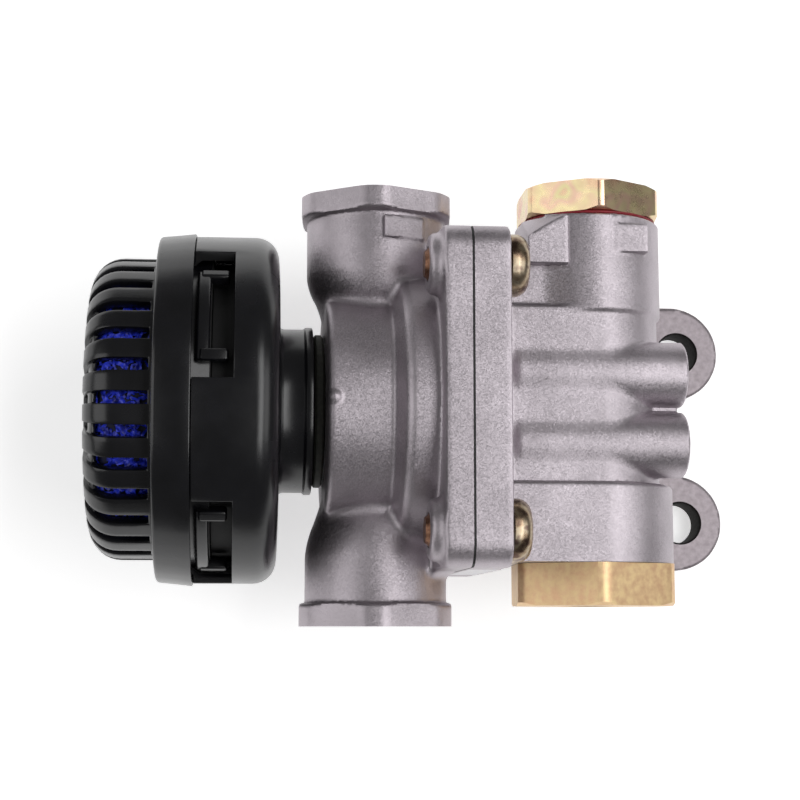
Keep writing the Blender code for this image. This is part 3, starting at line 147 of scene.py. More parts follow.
TOP_BOSS = 18.2
TOP_BOSS_LOW = 23.7
TOP_BOSS_HIGH = UPPER_HIGH.y
WEB = 15.6
WEB_STEP = -13.5
WEB_TOP = 35.4
LEFT_PAD_END = -8.1
LEFT_PAD_SIDES = (34.8, 47.2)
LEFT_PAD_TOP = 18.5
LEFT_PAD_CONE = 19.6
RIGHT_PAD_ENDS = (3.4, 11.8)
RIGHT_PAD_SIDES = (38.2, 45.4)
RIGHT_PAD_TOP = 17.9
RIB_TOP = -8.5
NOZZLE = 8.1
NOZZLE_OFFSET = 8.75
NOZZLE_HEIGHT = 10.3
NOZZLE_START = 12.5
NOZZLE_END = 55.8
NOZZLE_BORE = 4.3
NOZZLE_BORE_DEPTH = 12.0
CROSS_BORE = 12.3
BRIDGE_HALF = 2.0
BRIDGE_TOP = 10.6
BRIDGE_END = NOZZLE_END - 1.2
LUG_STATION = UPPER_HIGH.x - 12.9
LUG_HIGH = 21.9
LUG_LOW = -24.95
LUG = 12.9
LUG_HOLE = 5.4
LUG_HOLE_SHIFT = 1.5
LUG_THICKNESS = 9.0
LUG_ROOT = 38.0
LUG_BACK = UPPER_LOW.z
FOOT_LEFT = 18.0
FOOT_RIGHT = 50.0
FOOT_LOW = LUG_LOW + 1.1
FOOT_HIGH = LUG_HIGH - 1.1
RIB_HALF = 5.0
CROSS_RIB_HALF = 4.0

# Plug and brass fitting
PLUG_FLATS = 33.0
PLUG_CORNER = 18.7
PLUG_TURN = 30.0
PLUG_HEAD = 7.9
PLUG_SHANK = 12.0
PLUG_SHOULDER = 13.0
PLUG_SHOULDER_LOW = TOP_BOSS_HIGH - 10.7
PLUG_POCKET = 9.6
PLUG_POCKET_DEPTH = 14.0
WASHER = 17.4
WASHER_HOLE = 13.3
WASHER_EDGE = 0.25
FITTING_FLATS = 38.4
FITTING_CORNER = 21.5
FITTING_TURN = 25.5
FITTING_HEAD = 10.2
FITTING_SHANK = 12.0
FITTING_GROOVE = 10.2
FITTING_GROOVE_SPAN = (FITTING_HIGH.y - 9.1, FITTING_HIGH.y - 6.9)
FITTING_BORE = 7.6
FITTING_MOUTH = 1.2

# Silencer
CAGE = 37.0
CAGE_WALL = 2.5
CAGE_SHOULDER = 7.7
CAGE_DOME = 0.6
GROOVE_DEPTH = 1.3
GROOVE_START = 24.0
SLOTS = 30
SLOT_ANGLE = 4.5
SLOT_FIRST = -3.0
SLOT_OPENS_AT = 37.0
HOUSING = 42.65
HOUSING_WALL = 2.5
HOUSING_EDGE = 5.5
HOUSING_RIM = 40.7
NECK_RIGHT = SEAL_LOW.x - 0.3
NECK_LEFT = NECK_RIGHT - 8.4
HOUSING_LEFT = NECK_LEFT - 20.0
RIM_LEFT = HOUSING_LEFT - 6.4
COLLAR_RIGHT = HOUSING_LEFT - 0.1
COLLAR_LEFT = COLLAR_RIGHT - 8.8
CAGE_TIP = COLLAR_LEFT - 16.7
PAD_LEFT = CAGE_TIP + 2.8
NECK = 20.3
NECK_LIP = 20.8
NECK_LIP_LENGTH = 1.8
WINDOWS = 4
WINDOW_ANGLE = 51.0
WINDOW_FIRST = 28.2
WINDOW_LENGTH = 9.4
HOOK_HALF_ANGLE = 19.0
HOOK_ARM_ANGLE = 15.0
HOOK_LEFT = COLLAR_RIGHT + 0.9
HOOK_RIGHT = COLLAR_RIGHT + 8.4
SPIGOT = 14.2
SPIGOT_BORE = 12.0
RIBBONS = 900
RIBBON_STEP = 0.5
RIBBON_THICKNESS = 0.07

# Light that the surround sends to matt and to shiny surfaces, where 1 is white
WORLD_LEVEL = 0.12
WORLD_GLOSS = 0.14

# Light that the floor adds to what the camera sees of it, so that paper shows as white
FLOOR_GLOW = 0.6

# Camera: the point it looks at, seen from the valve axis, where it stands from there, and its lens
LOOKED_AT = Vector((-13.3, 3.15, 0))
CAMERA_STAND = Vector((-38.75, -56.25, 412.5))
FOCAL_LENGTH = 75.2


def linear(colour):
    """Linear red, green, blue and alpha of an sRGB colour in hexadecimal."""
    channels = [int(colour[place:place + 2], 16) / 255 for place in (1, 3, 5)]
    curve = [c / 12.92 if c <= 0.04045 else ((c + 0.055) / 1.055) ** 2.4 for c in channels]
    return (*curve, 1.0)


def add(tree, kind, settings=None, **links):
    """Add a node. A link is named after its input, and gives a value or another socket."""
    node = tree.nodes.new(kind)
    for name, value in (settings or {}).items():
        setattr(node, name, value)
    for name, value in links.items():
        key = int(name[1:]) if name[1:].isdigit() else name.replace("_", " ")
        if isinstance(value, bpy.types.NodeSocket):
            tree.links.new(value, node.inputs[key])
        else:
            node.inputs[key].default_value = value
    return node


def new_material(name, **sockets):
    """Material with a Principled shader whose constant sockets are set."""
    material = bpy.data.materials.new(name)
    material.use_nodes = True
    shader = material.node_tree.nodes["Principled BSDF"]
    for socket, value in sockets.items():
        shader.inputs[socket.replace("_", " ")].default_value = value
    place = add(material.node_tree, "ShaderNodeTexCoord")
    return material, material.node_tree, shader, place.outputs["Object"]


def ramp(tree, factor, shades, start, end):
    """Colour that runs through evenly spaced shades as the factor runs from start to end."""
    node = add(tree, "ShaderNodeValToRGB", Fac=factor)
    points = node.color_ramp.elements
    while len(points) < len(shades):
        points.new(0.5)
    for number, (point, shade) in enumerate(zip(points, shades)):
        point.position = start + (end - start) * number / (len(shades) - 1)
        point.color = linear(shade)
    return node.outputs["Color"]


def link_finish(tree, shader, colour, rough=None, bump=None):
    """Lead a colour, and the nodes for roughness and bump, to the shader."""
    tree.links.new(colour, shader.inputs["Base Color"])
    for node, socket in ((rough, "Roughness"), (bump, "Normal")):
        if node:
            tree.links.new(node.outputs[0], shader.inputs[socket])


def tilted_grains(tree, colour, tilt):
    """Normal that leans its own way in each grain, which gives a sparkle."""
    surface = add(tree, "ShaderNodeNewGeometry")
    lean = add(tree, "ShaderNodeVectorMath", {"operation": "MULTIPLY_ADD"},
               _0=colour, _1=(tilt,) * 3, _2=surface.outputs["Normal"])
    lean = add(tree, "ShaderNodeVectorMath", {"operation": "SUBTRACT"},
               _0=lean.outputs[0], _1=(tilt / 2,) * 3)
    lean = add(tree, "ShaderNodeVectorMath", {"operation": "NORMALIZE"}, _0=lean.outputs[0])
    return lean.outputs[0]


def blasted_aluminium():
    """Cast aluminium after grit blasting: matt, with grains of 0.25 mm that sparkle."""
    material, tree, shader, place = new_material("blasted_aluminium", Metallic=1.0)
    grit = add(tree, "ShaderNodeTexVoronoi", Vector=place, Scale=1 / (0.25 * MM))
    patch = add(tree, "ShaderNodeTexNoise", Vector=place, Scale=1 / (14 * MM), Detail=4.0)
    tone = add(tree, "ShaderNodeMath", {"operation": "MULTIPLY_ADD"},
               _0=grit.outputs["Color"], _1=0.4, _2=patch.outputs["Fac"])
    colour = ramp(tree, tone.outputs[0], ("#A49DA2", "#C4BCC2"), 0.4, 0.95)
    rough = add(tree, "ShaderNodeMapRange", Value=grit.outputs["Color"], To_Min=0.4, To_Max=0.58)
    swell = add(tree, "ShaderNodeTexNoise", Vector=place, Scale=1 / (3.0 * MM), Detail=1.0)
    bump = add(tree, "ShaderNodeBump", Strength=0.25, Distance=0.12 * MM,
               Height=swell.outputs["Fac"], Normal=tilted_grains(tree, grit.outputs["Color"], 0.15))
    link_finish(tree, shader, colour, rough, bump)
    return material


def machined_aluminium():
    """Aluminium cut by a tool that leaves rings 0.4 mm apart, brighter than the cast skin."""
    material, tree, shader, place = new_material("machined_aluminium", Metallic=1.0)
    marks = add(tree, "ShaderNodeTexNoise", Vector=place, Scale=1 / (0.4 * MM), Detail=2.0)
    colour = ramp(tree, marks.outputs["Fac"], ("#B4B2B6", "#D6D4D8"), 0.3, 0.7)
    rough = add(tree, "ShaderNodeMapRange", Value=marks.outputs["Fac"], To_Min=0.28, To_Max=0.42)
    bump = add(tree, "ShaderNodeBump", Strength=0.3, Distance=0.05 * MM, Height=marks.outputs["Fac"])
    link_finish(tree, shader, colour, rough, bump)
    return material


def moulded_nylon():
    """Black glass-filled nylon, moulded glossy, with a faint orange peel of 2 mm waves."""
    material, tree, shader, place = new_material("moulded_nylon", IOR=1.53)
    peel = add(tree, "ShaderNodeTexNoise", Vector=place, Scale=1 / (2.0 * MM), Detail=3.0)
    haze = add(tree, "ShaderNodeTexNoise", Vector=place, Scale=1 / (9.0 * MM), Detail=4.0)
    colour = ramp(tree, haze.outputs["Fac"], ("#0A0A0D", "#111115"), 0.35, 0.65)
    rough = add(tree, "ShaderNodeMapRange", Value=haze.outputs["Fac"], To_Min=0.2, To_Max=0.32)
    bump = add(tree, "ShaderNodeBump", Strength=0.25, Distance=0.06 * MM, Height=peel.outputs["Fac"])
    link_finish(tree, shader, colour, rough, bump)
    return material


def knitted_polypropylene():
    """Royal blue plastic yarn with a soft gloss. Its threads differ a little in tone."""
    material, tree, shader, place = new_material("knitted_polypropylene", IOR=1.49)
    tone = add(tree, "ShaderNodeTexNoise", Vector=place, Scale=1 / (1.5 * MM), Detail=3.0)
    colour = ramp(tree, tone.outputs["Fac"], ("#101A86", "#2E42E6"), 0.35, 0.62)
    rough = add(tree, "ShaderNodeMapRange", Value=tone.outputs["Fac"], To_Min=0.5, To_Max=0.32)
    link_finish(tree, shader, colour, rough)
    return material


def yellow_zinc(name, size, *shades):
    """Yellow passivated zinc on steel: bright, with clouds of colour from its thin film."""
    material, tree, shader, place = new_material(name, Metallic=1.0)
    cloud = add(tree, "ShaderNodeTexNoise", Vector=place, Scale=1 / (size * MM), Detail=2.0)
    colour = ramp(tree, cloud.outputs["Fac"], shades, 0.32, 0.72)
    scratch = add(tree, "ShaderNodeTexNoise", Vector=place, Scale=1 / (3.0 * MM), Detail=2.0)
    rough = add(tree, "ShaderNodeMapRange", Value=scratch.outputs["Fac"], To_Min=0.2, To_Max=0.36)
    bump = add(tree, "ShaderNodeBump", Strength=0.2, Distance=0.1 * MM, Height=scratch.outputs["Fac"])
    link_finish(tree, shader, colour, rough, bump)
    return material


def sawn_brass():
    """Free-cutting brass bar, dull on its drawn sides, with mottles 1.6 mm across."""
    material, tree, shader, place = new_material("sawn_brass", Metallic=1.0)
    mottle = add(tree, "ShaderNodeTexNoise", Vector=place, Scale=1 / (1.6 * MM), Detail=3.0)
    streaks = add(tree, "ShaderNodeMapping", Vector=place,
                  Scale=(1 / (1.6 * MM), 1 / (5 * MM), 1 / (1.6 * MM)))
    lines = add(tree, "ShaderNodeTexNoise", Vector=streaks.outputs[0], Scale=1.0, Detail=3.0)
    tone = add(tree, "ShaderNodeMath", {"operation": "MULTIPLY_ADD"},
               _0=lines.outputs["Fac"], _1=0.5, _2=mottle.outputs["Fac"])
    colour = ramp(tree, tone.outputs[0], ("#D2AC88", "#E6CB9C"), 0.55, 0.95)
    rough = add(tree, "ShaderNodeMapRange", Value=mottle.outputs["Fac"], To_Min=0.34, To_Max=0.55)
    bump = add(tree, "ShaderNodeBump", Strength=0.12, Distance=0.08 * MM, Height=tone.outputs[0])
    link_finish(tree, shader, colour, rough, bump)
    return material


def plain_finish(name, low, high, metallic, roughness, grain, ior=1.5):
    """Even finish whose tone and height vary a little over a grain in millimetres."""
    material, tree, shader, place = new_material(name, Metallic=metallic, Roughness=roughness)
    if not metallic:
        shader.inputs["IOR"].default_value = ior
    noise = add(tree, "ShaderNodeTexNoise", Vector=place, Scale=1 / (grain * MM), Detail=3.0)
    colour = ramp(tree, noise.outputs["Fac"], (low, high), 0.3, 0.7)
    bump = add(tree, "ShaderNodeBump", Strength=0.3, Distance=0.1 * grain * MM,
               Height=noise.outputs["Fac"])
    link_finish(tree, shader, colour, bump=bump)
    return material


CAST = blasted_aluminium()
MACHINED = machined_aluminium()
NYLON = moulded_nylon()
YARN = knitted_polypropylene()
# Darker blue of the yarn for the core under the ribbons: painted shade between the threads
SHADED_YARN = plain_finish("shaded_yarn", "#05061C", "#0A0E3A", 0.0, 0.6, 0.8, 1.49)
ZINC = yellow_zinc("yellow_zinc", 11.0, "#D8A58C", "#E0C6A0", "#E4D3A4", "#E0BCA4", "#D8CE9C",
                   "#D8A494")
# Yellow zinc of the screw heads, made darker as a painted dark reflection
SCREW_ZINC_PAINTED_DARK = yellow_zinc("yellow_zinc_painted_dark_reflection", 3.0, "#5E4A40", "#94806A", "#AC9E88", "#705C54")
# Smoother cast skin, darker as painted shade, for the low foot and lugs
SHADED_FOOT_SKIN = plain_finish("smooth_cast_skin_in_painted_shade", "#8C8488", "#A0989C", 1.0, 0.5, 1.5)
# Dark metal for the walls of the lug holes: painted shade
SHADED_METAL = plain_finish("painted_shade_hole_wall", "#262424", "#3A3838", 1.0, 0.7, 1.0)
BRASS = sawn_brass()
FIBRE = plain_finish("vulcanised_fibre", "#7A1420", "#981C2A", 0.0, 0.55, 0.8)
RUBBER = plain_finish("nitrile_rubber", "#141415", "#1E1E1F", 0.0, 0.6, 0.6, 1.52)
SEAL = plain_finish("neck_seal_rubber", "#4A4B45", "#5C5D55", 0.0, 0.6, 1.0, 1.52)
TURNED = plain_finish("turned_aluminium", "#B9B8BC", "#D5D4D7", 1.0, 0.3, 0.5)
STEEL = plain_finish("spring_steel", "#8E8E92", "#AFAFB4", 1.0, 0.3, 0.4)
COPPER = plain_finish("browned_steel_thread", "#6A4A3C", "#94705A", 1.0, 0.4, 0.5)
# Darker copy of the black nylon: painted shade for faces inside the cup, the sleeve and the back of the
# filling
SHADE_PAINTED_NYLON = plain_finish("unlit_nylon", "#070708", "#0C0C0E", 0.0, 0.7, 1.2, 1.53)


def place_piece(item, body, slot, *replaced):
    """Seat a piece on its body, in place of the CAD nodes that it stands for; its slot is not used."""
    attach(item, body)
    if replaced:
        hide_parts(*replaced)
    return item


def new_piece(name, points, faces, materials, sharp=30.0):
    """Mesh object from points in millimetres about the valve axis."""
    mesh = bpy.data.meshes.new(name)
    mesh.from_pydata((np.asarray(points, float) * MM).tolist(), [], faces)
    shape = bmesh.new()
    shape.from_mesh(mesh)
    bmesh.ops.remove_doubles(shape, verts=shape.verts[:], dist=1e-8)
    bmesh.ops.recalc_face_normals(shape, faces=shape.faces[:])
    shape.to_mesh(mesh)
    shape.free()
    mesh.shade_smooth()
    mesh.set_sharp_from_angle(angle=math.radians(sharp))
    for material in materials:
        mesh.materials.append(material)
    item = bpy.data.objects.new(name, mesh)
    item.location = VALVE
    bpy.context.scene.collection.objects.link(item)
    return item


def settle(item, sharp=30.0):
    """Apply the modifiers of a piece and remove the tools that they used."""
    tools = [m.object for m in item.modifiers if m.type == "BOOLEAN"]
    bpy.context.view_layer.update()
    evaluated = item.evaluated_get(bpy.context.evaluated_depsgraph_get())
    mesh = bpy.data.meshes.new_from_object(evaluated)
    item.modifiers.clear()
    item.data = mesh
    mesh.shade_smooth()
    mesh.set_sharp_from_angle(angle=math.radians(sharp))
    for tool in tools:
        bpy.data.objects.remove(tool, do_unlink=True)
    return item


def combine(item, operation, *tools):
    for tool in tools:
        modifier = item.modifiers.new(tool.name, "BOOLEAN")
        modifier.operation = operation
        modifier.solver = "MANIFOLD"
        modifier.object = tool


def refinish(item, number, chosen):
    """Change the material of the faces whose middle, in millimetres, is chosen."""
    for face in item.data.polygons:
        if chosen(face.center / MM):
            face.material_index = number


def round_edges(item, width, angle=30.0, segments=2):
    """Round the sharp edges of a piece."""
    bevel = item.modifiers.new("edges", "BEVEL")
    bevel.width = width * MM
    bevel.segments = segments
    bevel.limit_method = "ANGLE"
    bevel.angle_limit = math.radians(angle)
    bevel.harden_normals = False


# Directions of a turned shape's axis and of its angles 0 and 90 degrees
AXES = {
    "X": (Vector((1, 0, 0)), Vector((0, 0, 1)), Vector((0, 1, 0))),
    "Y": (Vector((0, 1, 0)), Vector((0, 0, 1)), Vector((1, 0, 0))),
    "Z": (Vector((0, 0, 1)), Vector((1, 0, 0)), Vector((0, 1, 0))),
}


def turn_angles(count):
    return [2 * math.pi * step / count for step in range(count)]


def ring_points(station, reaches, axis, centre):
    """Ring of points about an axis, one for each reach. A single 0 is a point on the axis."""
    along, first, second = AXES[axis]
    middle = Vector(centre) + along * station
    angles = turn_angles(len(reaches))
    return [middle + r * (first * math.cos(a) + second * math.sin(a))
            for r, a in zip(reaches, angles)]


def skin(rings, closed):
    """Faces through a list of rings of points. A closed list runs back to its start."""
    points, starts = [], []
    for ring in rings:
        starts.append((len(points), len(ring)))
        points += ring
    faces = []
    pairs = list(zip(starts, starts[1:])) + ([(starts[-1], starts[0])] if closed else [])
    for (first, many), (second, others) in pairs:
        count = max(many, others)
        for step in range(count):
            after = (step + 1) % count
            corners = [first + step % many, first + after % many,
                       second + after % others, second + step % others]
            faces.append(list(dict.fromkeys(corners)))
    if not closed:
        for start, many in (starts[0], starts[-1]):
            if many > 2:
                faces.append(list(range(start, start + many)))
    return points, faces


def turned(name, profile, materials, axis="X", centre=(0, 0, 0), count=96, sharp=30.0):
    """Body of revolution from (station, radius) points once round its section."""
    rings = [ring_points(s, [r] * count if r else [0], axis, centre) for s, r in profile]
    points, faces = skin(rings, closed=profile[0][1] > 0)
    return new_piece(name, points, faces, materials, sharp)


def round_cutter(name, low, high, radius, axis="X", centre=(0, 0, 0), count=96):
    """Round cutter of one radius."""
    profile = [(low, 0), (low, radius), (high, radius), (high, 0)]
    return turned(name, profile, [MACHINED], axis, centre, count)


def thread(start, pitch, turns, first, second):
    """Points of a thread drawn as rings that change between two radii."""
    points = []
    for turn in range(turns):
        station = start + turn * pitch
        points += [(station, first), (station + pitch / 2, second)]
    return points


def gather(parts):
    """One list of points and one of faces for several bodies, each given by its rings."""
    points, faces = [], []
    for rings in parts:
        some, more = skin(rings, False)
        faces += [[len(points) + index for index in face] for face in more]
        points += some
    return points, faces


def hexagon_reaches(flats, corner, turn, count):
    """Reach of a hexagon with turned-off corners, in each of its directions."""
    reaches = []
    for angle in turn_angles(count):
        fold = (angle - math.radians(turn) + math.pi / 6) % (math.pi / 3) - math.pi / 6
        reaches.append(min(flats / 2 / math.cos(fold), corner))
    return reaches


def hexagon_rings(low, high, flats, corner, turn, chamfers, axis, centre, count=144):
    """Rings up a hexagon. At a chamfered end a cone takes its corners off."""
    reaches = hexagon_reaches(flats, corner, turn, count)
    face = flats / 2 * 1.05
    slope = math.tan(math.radians(30))
    along, first, second = AXES[axis]

    def row(station, direction):
        points = []
        for reach, angle in zip(reaches, turn_angles(count)):
            drop = max(0, reach - face) * slope * direction
            side = first * math.cos(angle) + second * math.sin(angle)
            points.append(Vector(centre) + along * (station + drop) + reach * side)
        return points

    inner = [min(reach, face) for reach in reaches]
    rings = []
    if chamfers[0]:
        rings.append(ring_points(low, inner, axis, centre))
    rings.append(row(low, 1 if chamfers[0] else 0))
    rings.append(row(high, -1 if chamfers[1] else 0))
    if chamfers[1]:
        rings.append(ring_points(high, inner, axis, centre))
    return rings


def block(name, low, high, materials):
    """Plain box between two corners."""
    points = [(x, y, z) for x in (low[0], high[0]) for y in (low[1], high[1])
              for z in (low[2], high[2])]
    faces = [(0, 1, 3, 2), (4, 6, 7, 5), (0, 4, 5, 1), (2, 3, 7, 6), (0, 2, 6, 4), (1, 5, 7, 3)]
    return new_piece(name, points, faces, materials)


# Distances to simple shapes, negative inside. They work on whole arrays of points.
def disc(across, up, radius):
    return np.hypot(across, up) - radius


def between(along, low, high):
    return np.maximum(low - along, along - high)


def both(first, second, edge=0.0):
    """What two shapes share, with its convex edge rounded."""
    a, b = first + edge, second + edge
    return np.minimum(np.maximum(a, b), 0) + np.hypot(np.maximum(a, 0), np.maximum(b, 0)) - edge


def joined(first, second, fillet):
    """Two shapes together, with a round fillet in their concave corner."""
    a, b = np.maximum(fillet - first, 0), np.maximum(fillet - second, 0)
    return np.maximum(fillet, np.minimum(first, second)) - np.hypot(a, b)


def bar(first, second, third, edge, end_edge):
    """What three spans share, with one rounding along the bar and one at the third span's ends."""
    return both(both(first, second, edge), third, end_edge)


def square_flange(x, y, z, low, high):
    square = both(np.abs(y) - FLANGE_HALF, np.abs(z) - FLANGE_HALF, FLANGE_CORNER)
    return both(square, between(x, low, high), FLANGE_EDGE)


def tongue(along, across, centre, radius):
    """Strip from the left that ends in a half circle."""
    return np.hypot(np.maximum(along - centre, 0), across) - radius


def hexagon(first, second, flats, turn):
    reach = np.full(np.shape(first), -flats)
    for side in range(3):
        angle = math.radians(turn) + math.pi / 3 * side
        reach = np.maximum(reach, np.abs(first * math.cos(angle) + second * math.sin(angle)))
    return reach - flats / 2


def slopes(form, points, small):
    """Unit normals of a form at some points."""
    here = form(*points.T)
    slope = np.stack([form(*(points + small * axis).T) - here for axis in np.eye(3)], axis=1)
    return slope / np.maximum(np.linalg.norm(slope, axis=1), small / 100)[:, None]


def cast_surface(form, low, high, cell):
    """Points and quads of the surface of a form. Each point sits where the planes round it meet."""
    counts = [int(math.ceil((h - l) / cell)) + 1 for l, h in zip(low, high)]
    lines = [l + cell * np.arange(n) for l, n in zip(low, counts)]
    field = form(*np.meshgrid(*lines, indexing="ij"))
    inside = field < 0
    shape = [n - 1 for n in counts]
    count = sum(inside[a:a + shape[0], b:b + shape[1], c:c + shape[2]].astype(np.int8)
                for a in (0, 1) for b in (0, 1) for c in (0, 1))
    active = (count > 0) & (count < 8)
    total = int(active.sum())
    number = np.full(shape, -1)
    number[active] = np.arange(total)
    planes, pull = np.zeros((total, 3, 3)), np.zeros((total, 3))
    middle, hits = np.zeros((total, 3)), np.zeros(total)
    faces = []
    for axis in range(3):
        unit = np.eye(3, dtype=int)
        along, one_u, one_v = unit[axis], unit[(axis + 1) % 3], unit[(axis + 2) % 3]
        first, second = [slice(None)] * 3, [slice(None)] * 3
        first[axis], second[axis] = slice(0, -1), slice(1, None)
        edges = np.argwhere(inside[tuple(first)] != inside[tuple(second)])
        near, far = field[tuple(edges.T)], field[tuple((edges + along).T)]
        start, end = np.zeros(len(edges)), np.ones(len(edges))
        for _ in range(3):
            share = start + (end - start) * near / (near - far)
            crossing = np.array(low) + cell * (edges + share[:, None] * along)
            here = form(*crossing.T)
            same = (here < 0) == (near < 0)
            start, near = np.where(same, share, start), np.where(same, here, near)
            end, far = np.where(same, end, share), np.where(same, far, here)
        normal = slopes(form, crossing, 0.01 * cell)
        offset = (normal * crossing).sum(1)
        quad = []
        for step in (0 * one_u, one_u, one_u + one_v, one_v):
            target = number[tuple((edges - step).T)]
            quad.append(target)
            hits += np.bincount(target, minlength=total)
            for i in range(3):
                middle[:, i] += np.bincount(target, crossing[:, i], total)
                pull[:, i] += np.bincount(target, normal[:, i] * offset, total)
                for j in range(3):
                    planes[:, i, j] += np.bincount(target, normal[:, i] * normal[:, j], total)
        quad = np.stack(quad, axis=1)
        flip = inside[tuple(second)][tuple(edges.T)]
        quad[flip] = quad[flip][:, ::-1]
        faces.append(quad)
    middle /= hits[:, None]
    hold = 0.03 * hits[:, None, None] * np.eye(3)
    rest = pull - (planes @ middle[:, :, None])[:, :, 0]
    move = np.linalg.solve(planes + hold, rest[:, :, None])[:, :, 0]
    points = middle + np.clip(move, -0.7 * cell, 0.7 * cell)
    margin = np.full(3, ROOM)
    return np.clip(points, low + margin, high - margin), np.concatenate(faces).tolist()


def casting(name, form, low, high, cell, cutters):
    """Cast piece whose form is machined by cutters. Cut faces get the machined finish."""
    points, faces = cast_surface(form, low, high, cell)
    item = new_piece(name, points, faces, [CAST, MACHINED])
    combine(item, "DIFFERENCE", *cutters)
    settle(item, 32)
    mesh = item.data
    centres = np.zeros(len(mesh.polygons) * 3)
    mesh.polygons.foreach_get("center", centres)
    away = np.abs(form(*(centres.reshape(-1, 3) / MM).T))
    mesh.polygons.foreach_set("material_index", (away > MACHINED_DEPTH).astype(np.int32))
    return item


def screw_corners():
    signs = ((1, 1), (1, -1), (-1, -1), (-1, 1))
    return [(SCREW_OFFSET * up, SCREW_OFFSET * out) for up, out in signs]


def lower_form(x, y, z):
    """Lower casting: barrel, bell, square flange and the two bosses of the line ports."""
    joint = LOWER_HIGH.x
    back = joint - LOWER_FLANGE
    radius = np.hypot(y, z)
    flange = square_flange(x, y, z, back, joint + PAST_CUT)
    barrel = both(radius - BARREL, between(x, BARREL_END, joint), BARREL_EDGE)
    slope = math.atan2(BELL - BARREL, BELL_SLOPE)
    cone = (radius - BARREL) * math.cos(slope) - (x - BELL_START) * math.sin(slope)
    bell = both(both(radius - BELL, cone, 1.6), between(x, BELL_START - 5, back + 2), 0.5)
    form = joined(barrel, bell, 0.8)
    form = joined(form, flange, 1.0)
    for up, out in screw_corners():
        boss = both(disc(y - up, z - out, SCREW_BOSS),
                    between(x, back - SCREW_BOSS_HEIGHT, back + 2), 1.4)
        form = joined(form, boss, 2.2)
    side = np.abs(y)
    across = x - BOSS_STATION
    reach = np.hypot(across, z)
    root = both(reach - BOSS_ROOT, between(side, 0, BULB_END[0] + 4))
    end, start = np.where(y > 0, *BULB_END), np.where(y > 0, *BULB_START)
    swell = np.arctan2(BOSS - BOSS_ROOT, start - end)
    neck = (reach - BOSS_ROOT) * np.cos(swell) - (side - end) * np.sin(swell)
    bulb = both(reach - BOSS, neck, np.where(y > 0, *BULB_ROUND))
    bulb = both(bulb, between(side, BULB_END[1] - 6, PORT_REACH))
    boss = joined(root, bulb, 1.0)
    hex_low = PORT_REACH - PORT_HEX_HEIGHT
    face = PORT_HEX / 2 * 0.995
    tilt = math.radians(HEX_SLANT)
    scallop = (reach - face) * math.sin(tilt) - (side - hex_low) * math.cos(tilt)
    collar = both(hexagon(across, z, PORT_HEX, PORT_HEX_TURN), reach - PORT_HEX_CORNER, 0.5)
    collar = both(collar, scallop, 0.5)
    collar = both(collar, between(side, hex_low, PORT_REACH + PAST_CUT), 0.4)
    boss = joined(boss, collar, 0.6)
    form = joined(form, boss, 2.6)
    lean = math.radians(PORT_PAD_LEAN)
    front = across * math.sin(lean) + z * math.cos(lean) - PORT_PAD_REACH
    pad = both(both(between(across, PORT_PAD_LEFT, PORT_PAD_RIGHT),
                    between(y, hex_low - PORT_PAD_HEIGHT, hex_low - PORT_PAD_GAP), 0.4),
               both(front, -z), 0.4)
    form = joined(form, pad, 0.4)
    pip = np.sqrt((x - BARREL_END - PIP_SHIFT) ** 2 + y ** 2 + (z - BARREL + PIP_SINK) ** 2) - PIP
    return joined(form, pip, 1.0)


def make_lower_casting():
    joint = LOWER_HIGH.x
    back = joint - LOWER_FLANGE
    chamber = joint - PISTON_BORE_DEPTH
    seat = chamber - SEAT_WALL
    reach = FLANGE_HALF + 5
    metal = [MACHINED]
    cutters = [
        block("joint_cut", (joint, -reach, -reach), (joint + 5, reach, reach), metal),
        round_cutter("piston_bore", chamber, joint + 1, PISTON_BORE),
        turned("valve_bore", [(BARREL_END - 1, 0), (BARREL_END - 1, GUIDE_BORE),
                              (seat, GUIDE_BORE), (seat, SEAT_BORE), (chamber + 1, SEAT_BORE),
                              (chamber + 1, 0)], metal)]
    floor = PORT_REACH - PORT_BORE_DEPTH
    for number, side in enumerate((1, -1)):
        cutters.append(block(f"port_cut_{number}", (BOSS_STATION - 25, side * PORT_REACH, -25),
                             (BOSS_STATION + 25, side * (PORT_REACH + 5), 25), metal))
        turns = int((PORT_BORE_DEPTH - 3) / THREAD_PITCH)
        profile = [(floor, 0), (floor, PORT_BORE)]
        profile += thread(floor + 2, THREAD_PITCH, turns, PORT_BORE, PORT_BORE + 0.8)
        profile += [(PORT_REACH - PORT_MOUTH, PORT_BORE), (PORT_REACH, PORT_BORE + PORT_MOUTH),
                    (PORT_REACH + 1, PORT_BORE + PORT_MOUTH), (PORT_REACH + 1, 0)]
        profile = [(side * station, radius) for station, radius in profile]
        cutters.append(turned(f"port_bore_{number}", profile, metal, "Y", (BOSS_STATION, 0, 0), 64))
    cutters.append(round_cutter("supply_passage", GUIDE_BORE - 3, floor + 1, SUPPLY_PASSAGE, "Y",
                                (BOSS_STATION - 2.25, 0, 0), 48))
    for number, (up, out) in enumerate(screw_corners()):
        cutters.append(round_cutter(f"lower_hole_{number}", back - SCREW_BOSS_HEIGHT - 2, joint + 1,
                                    SCREW_HOLE, "X", (0, up, out), 32))
    low = (BOSS_STATION - PORT_HEX_CORNER - ROOM, -PORT_REACH - PAST_CUT - ROOM, -FLANGE_HALF - ROOM)
    high = (joint + PAST_CUT + ROOM, PORT_REACH + PAST_CUT + ROOM, FLANGE_HALF + ROOM)
    item = casting("lower_casting", lower_form, low, high, LOWER_CELL, cutters)
    place_piece(item, "valve_body", "cast_aluminium", "lower_body")


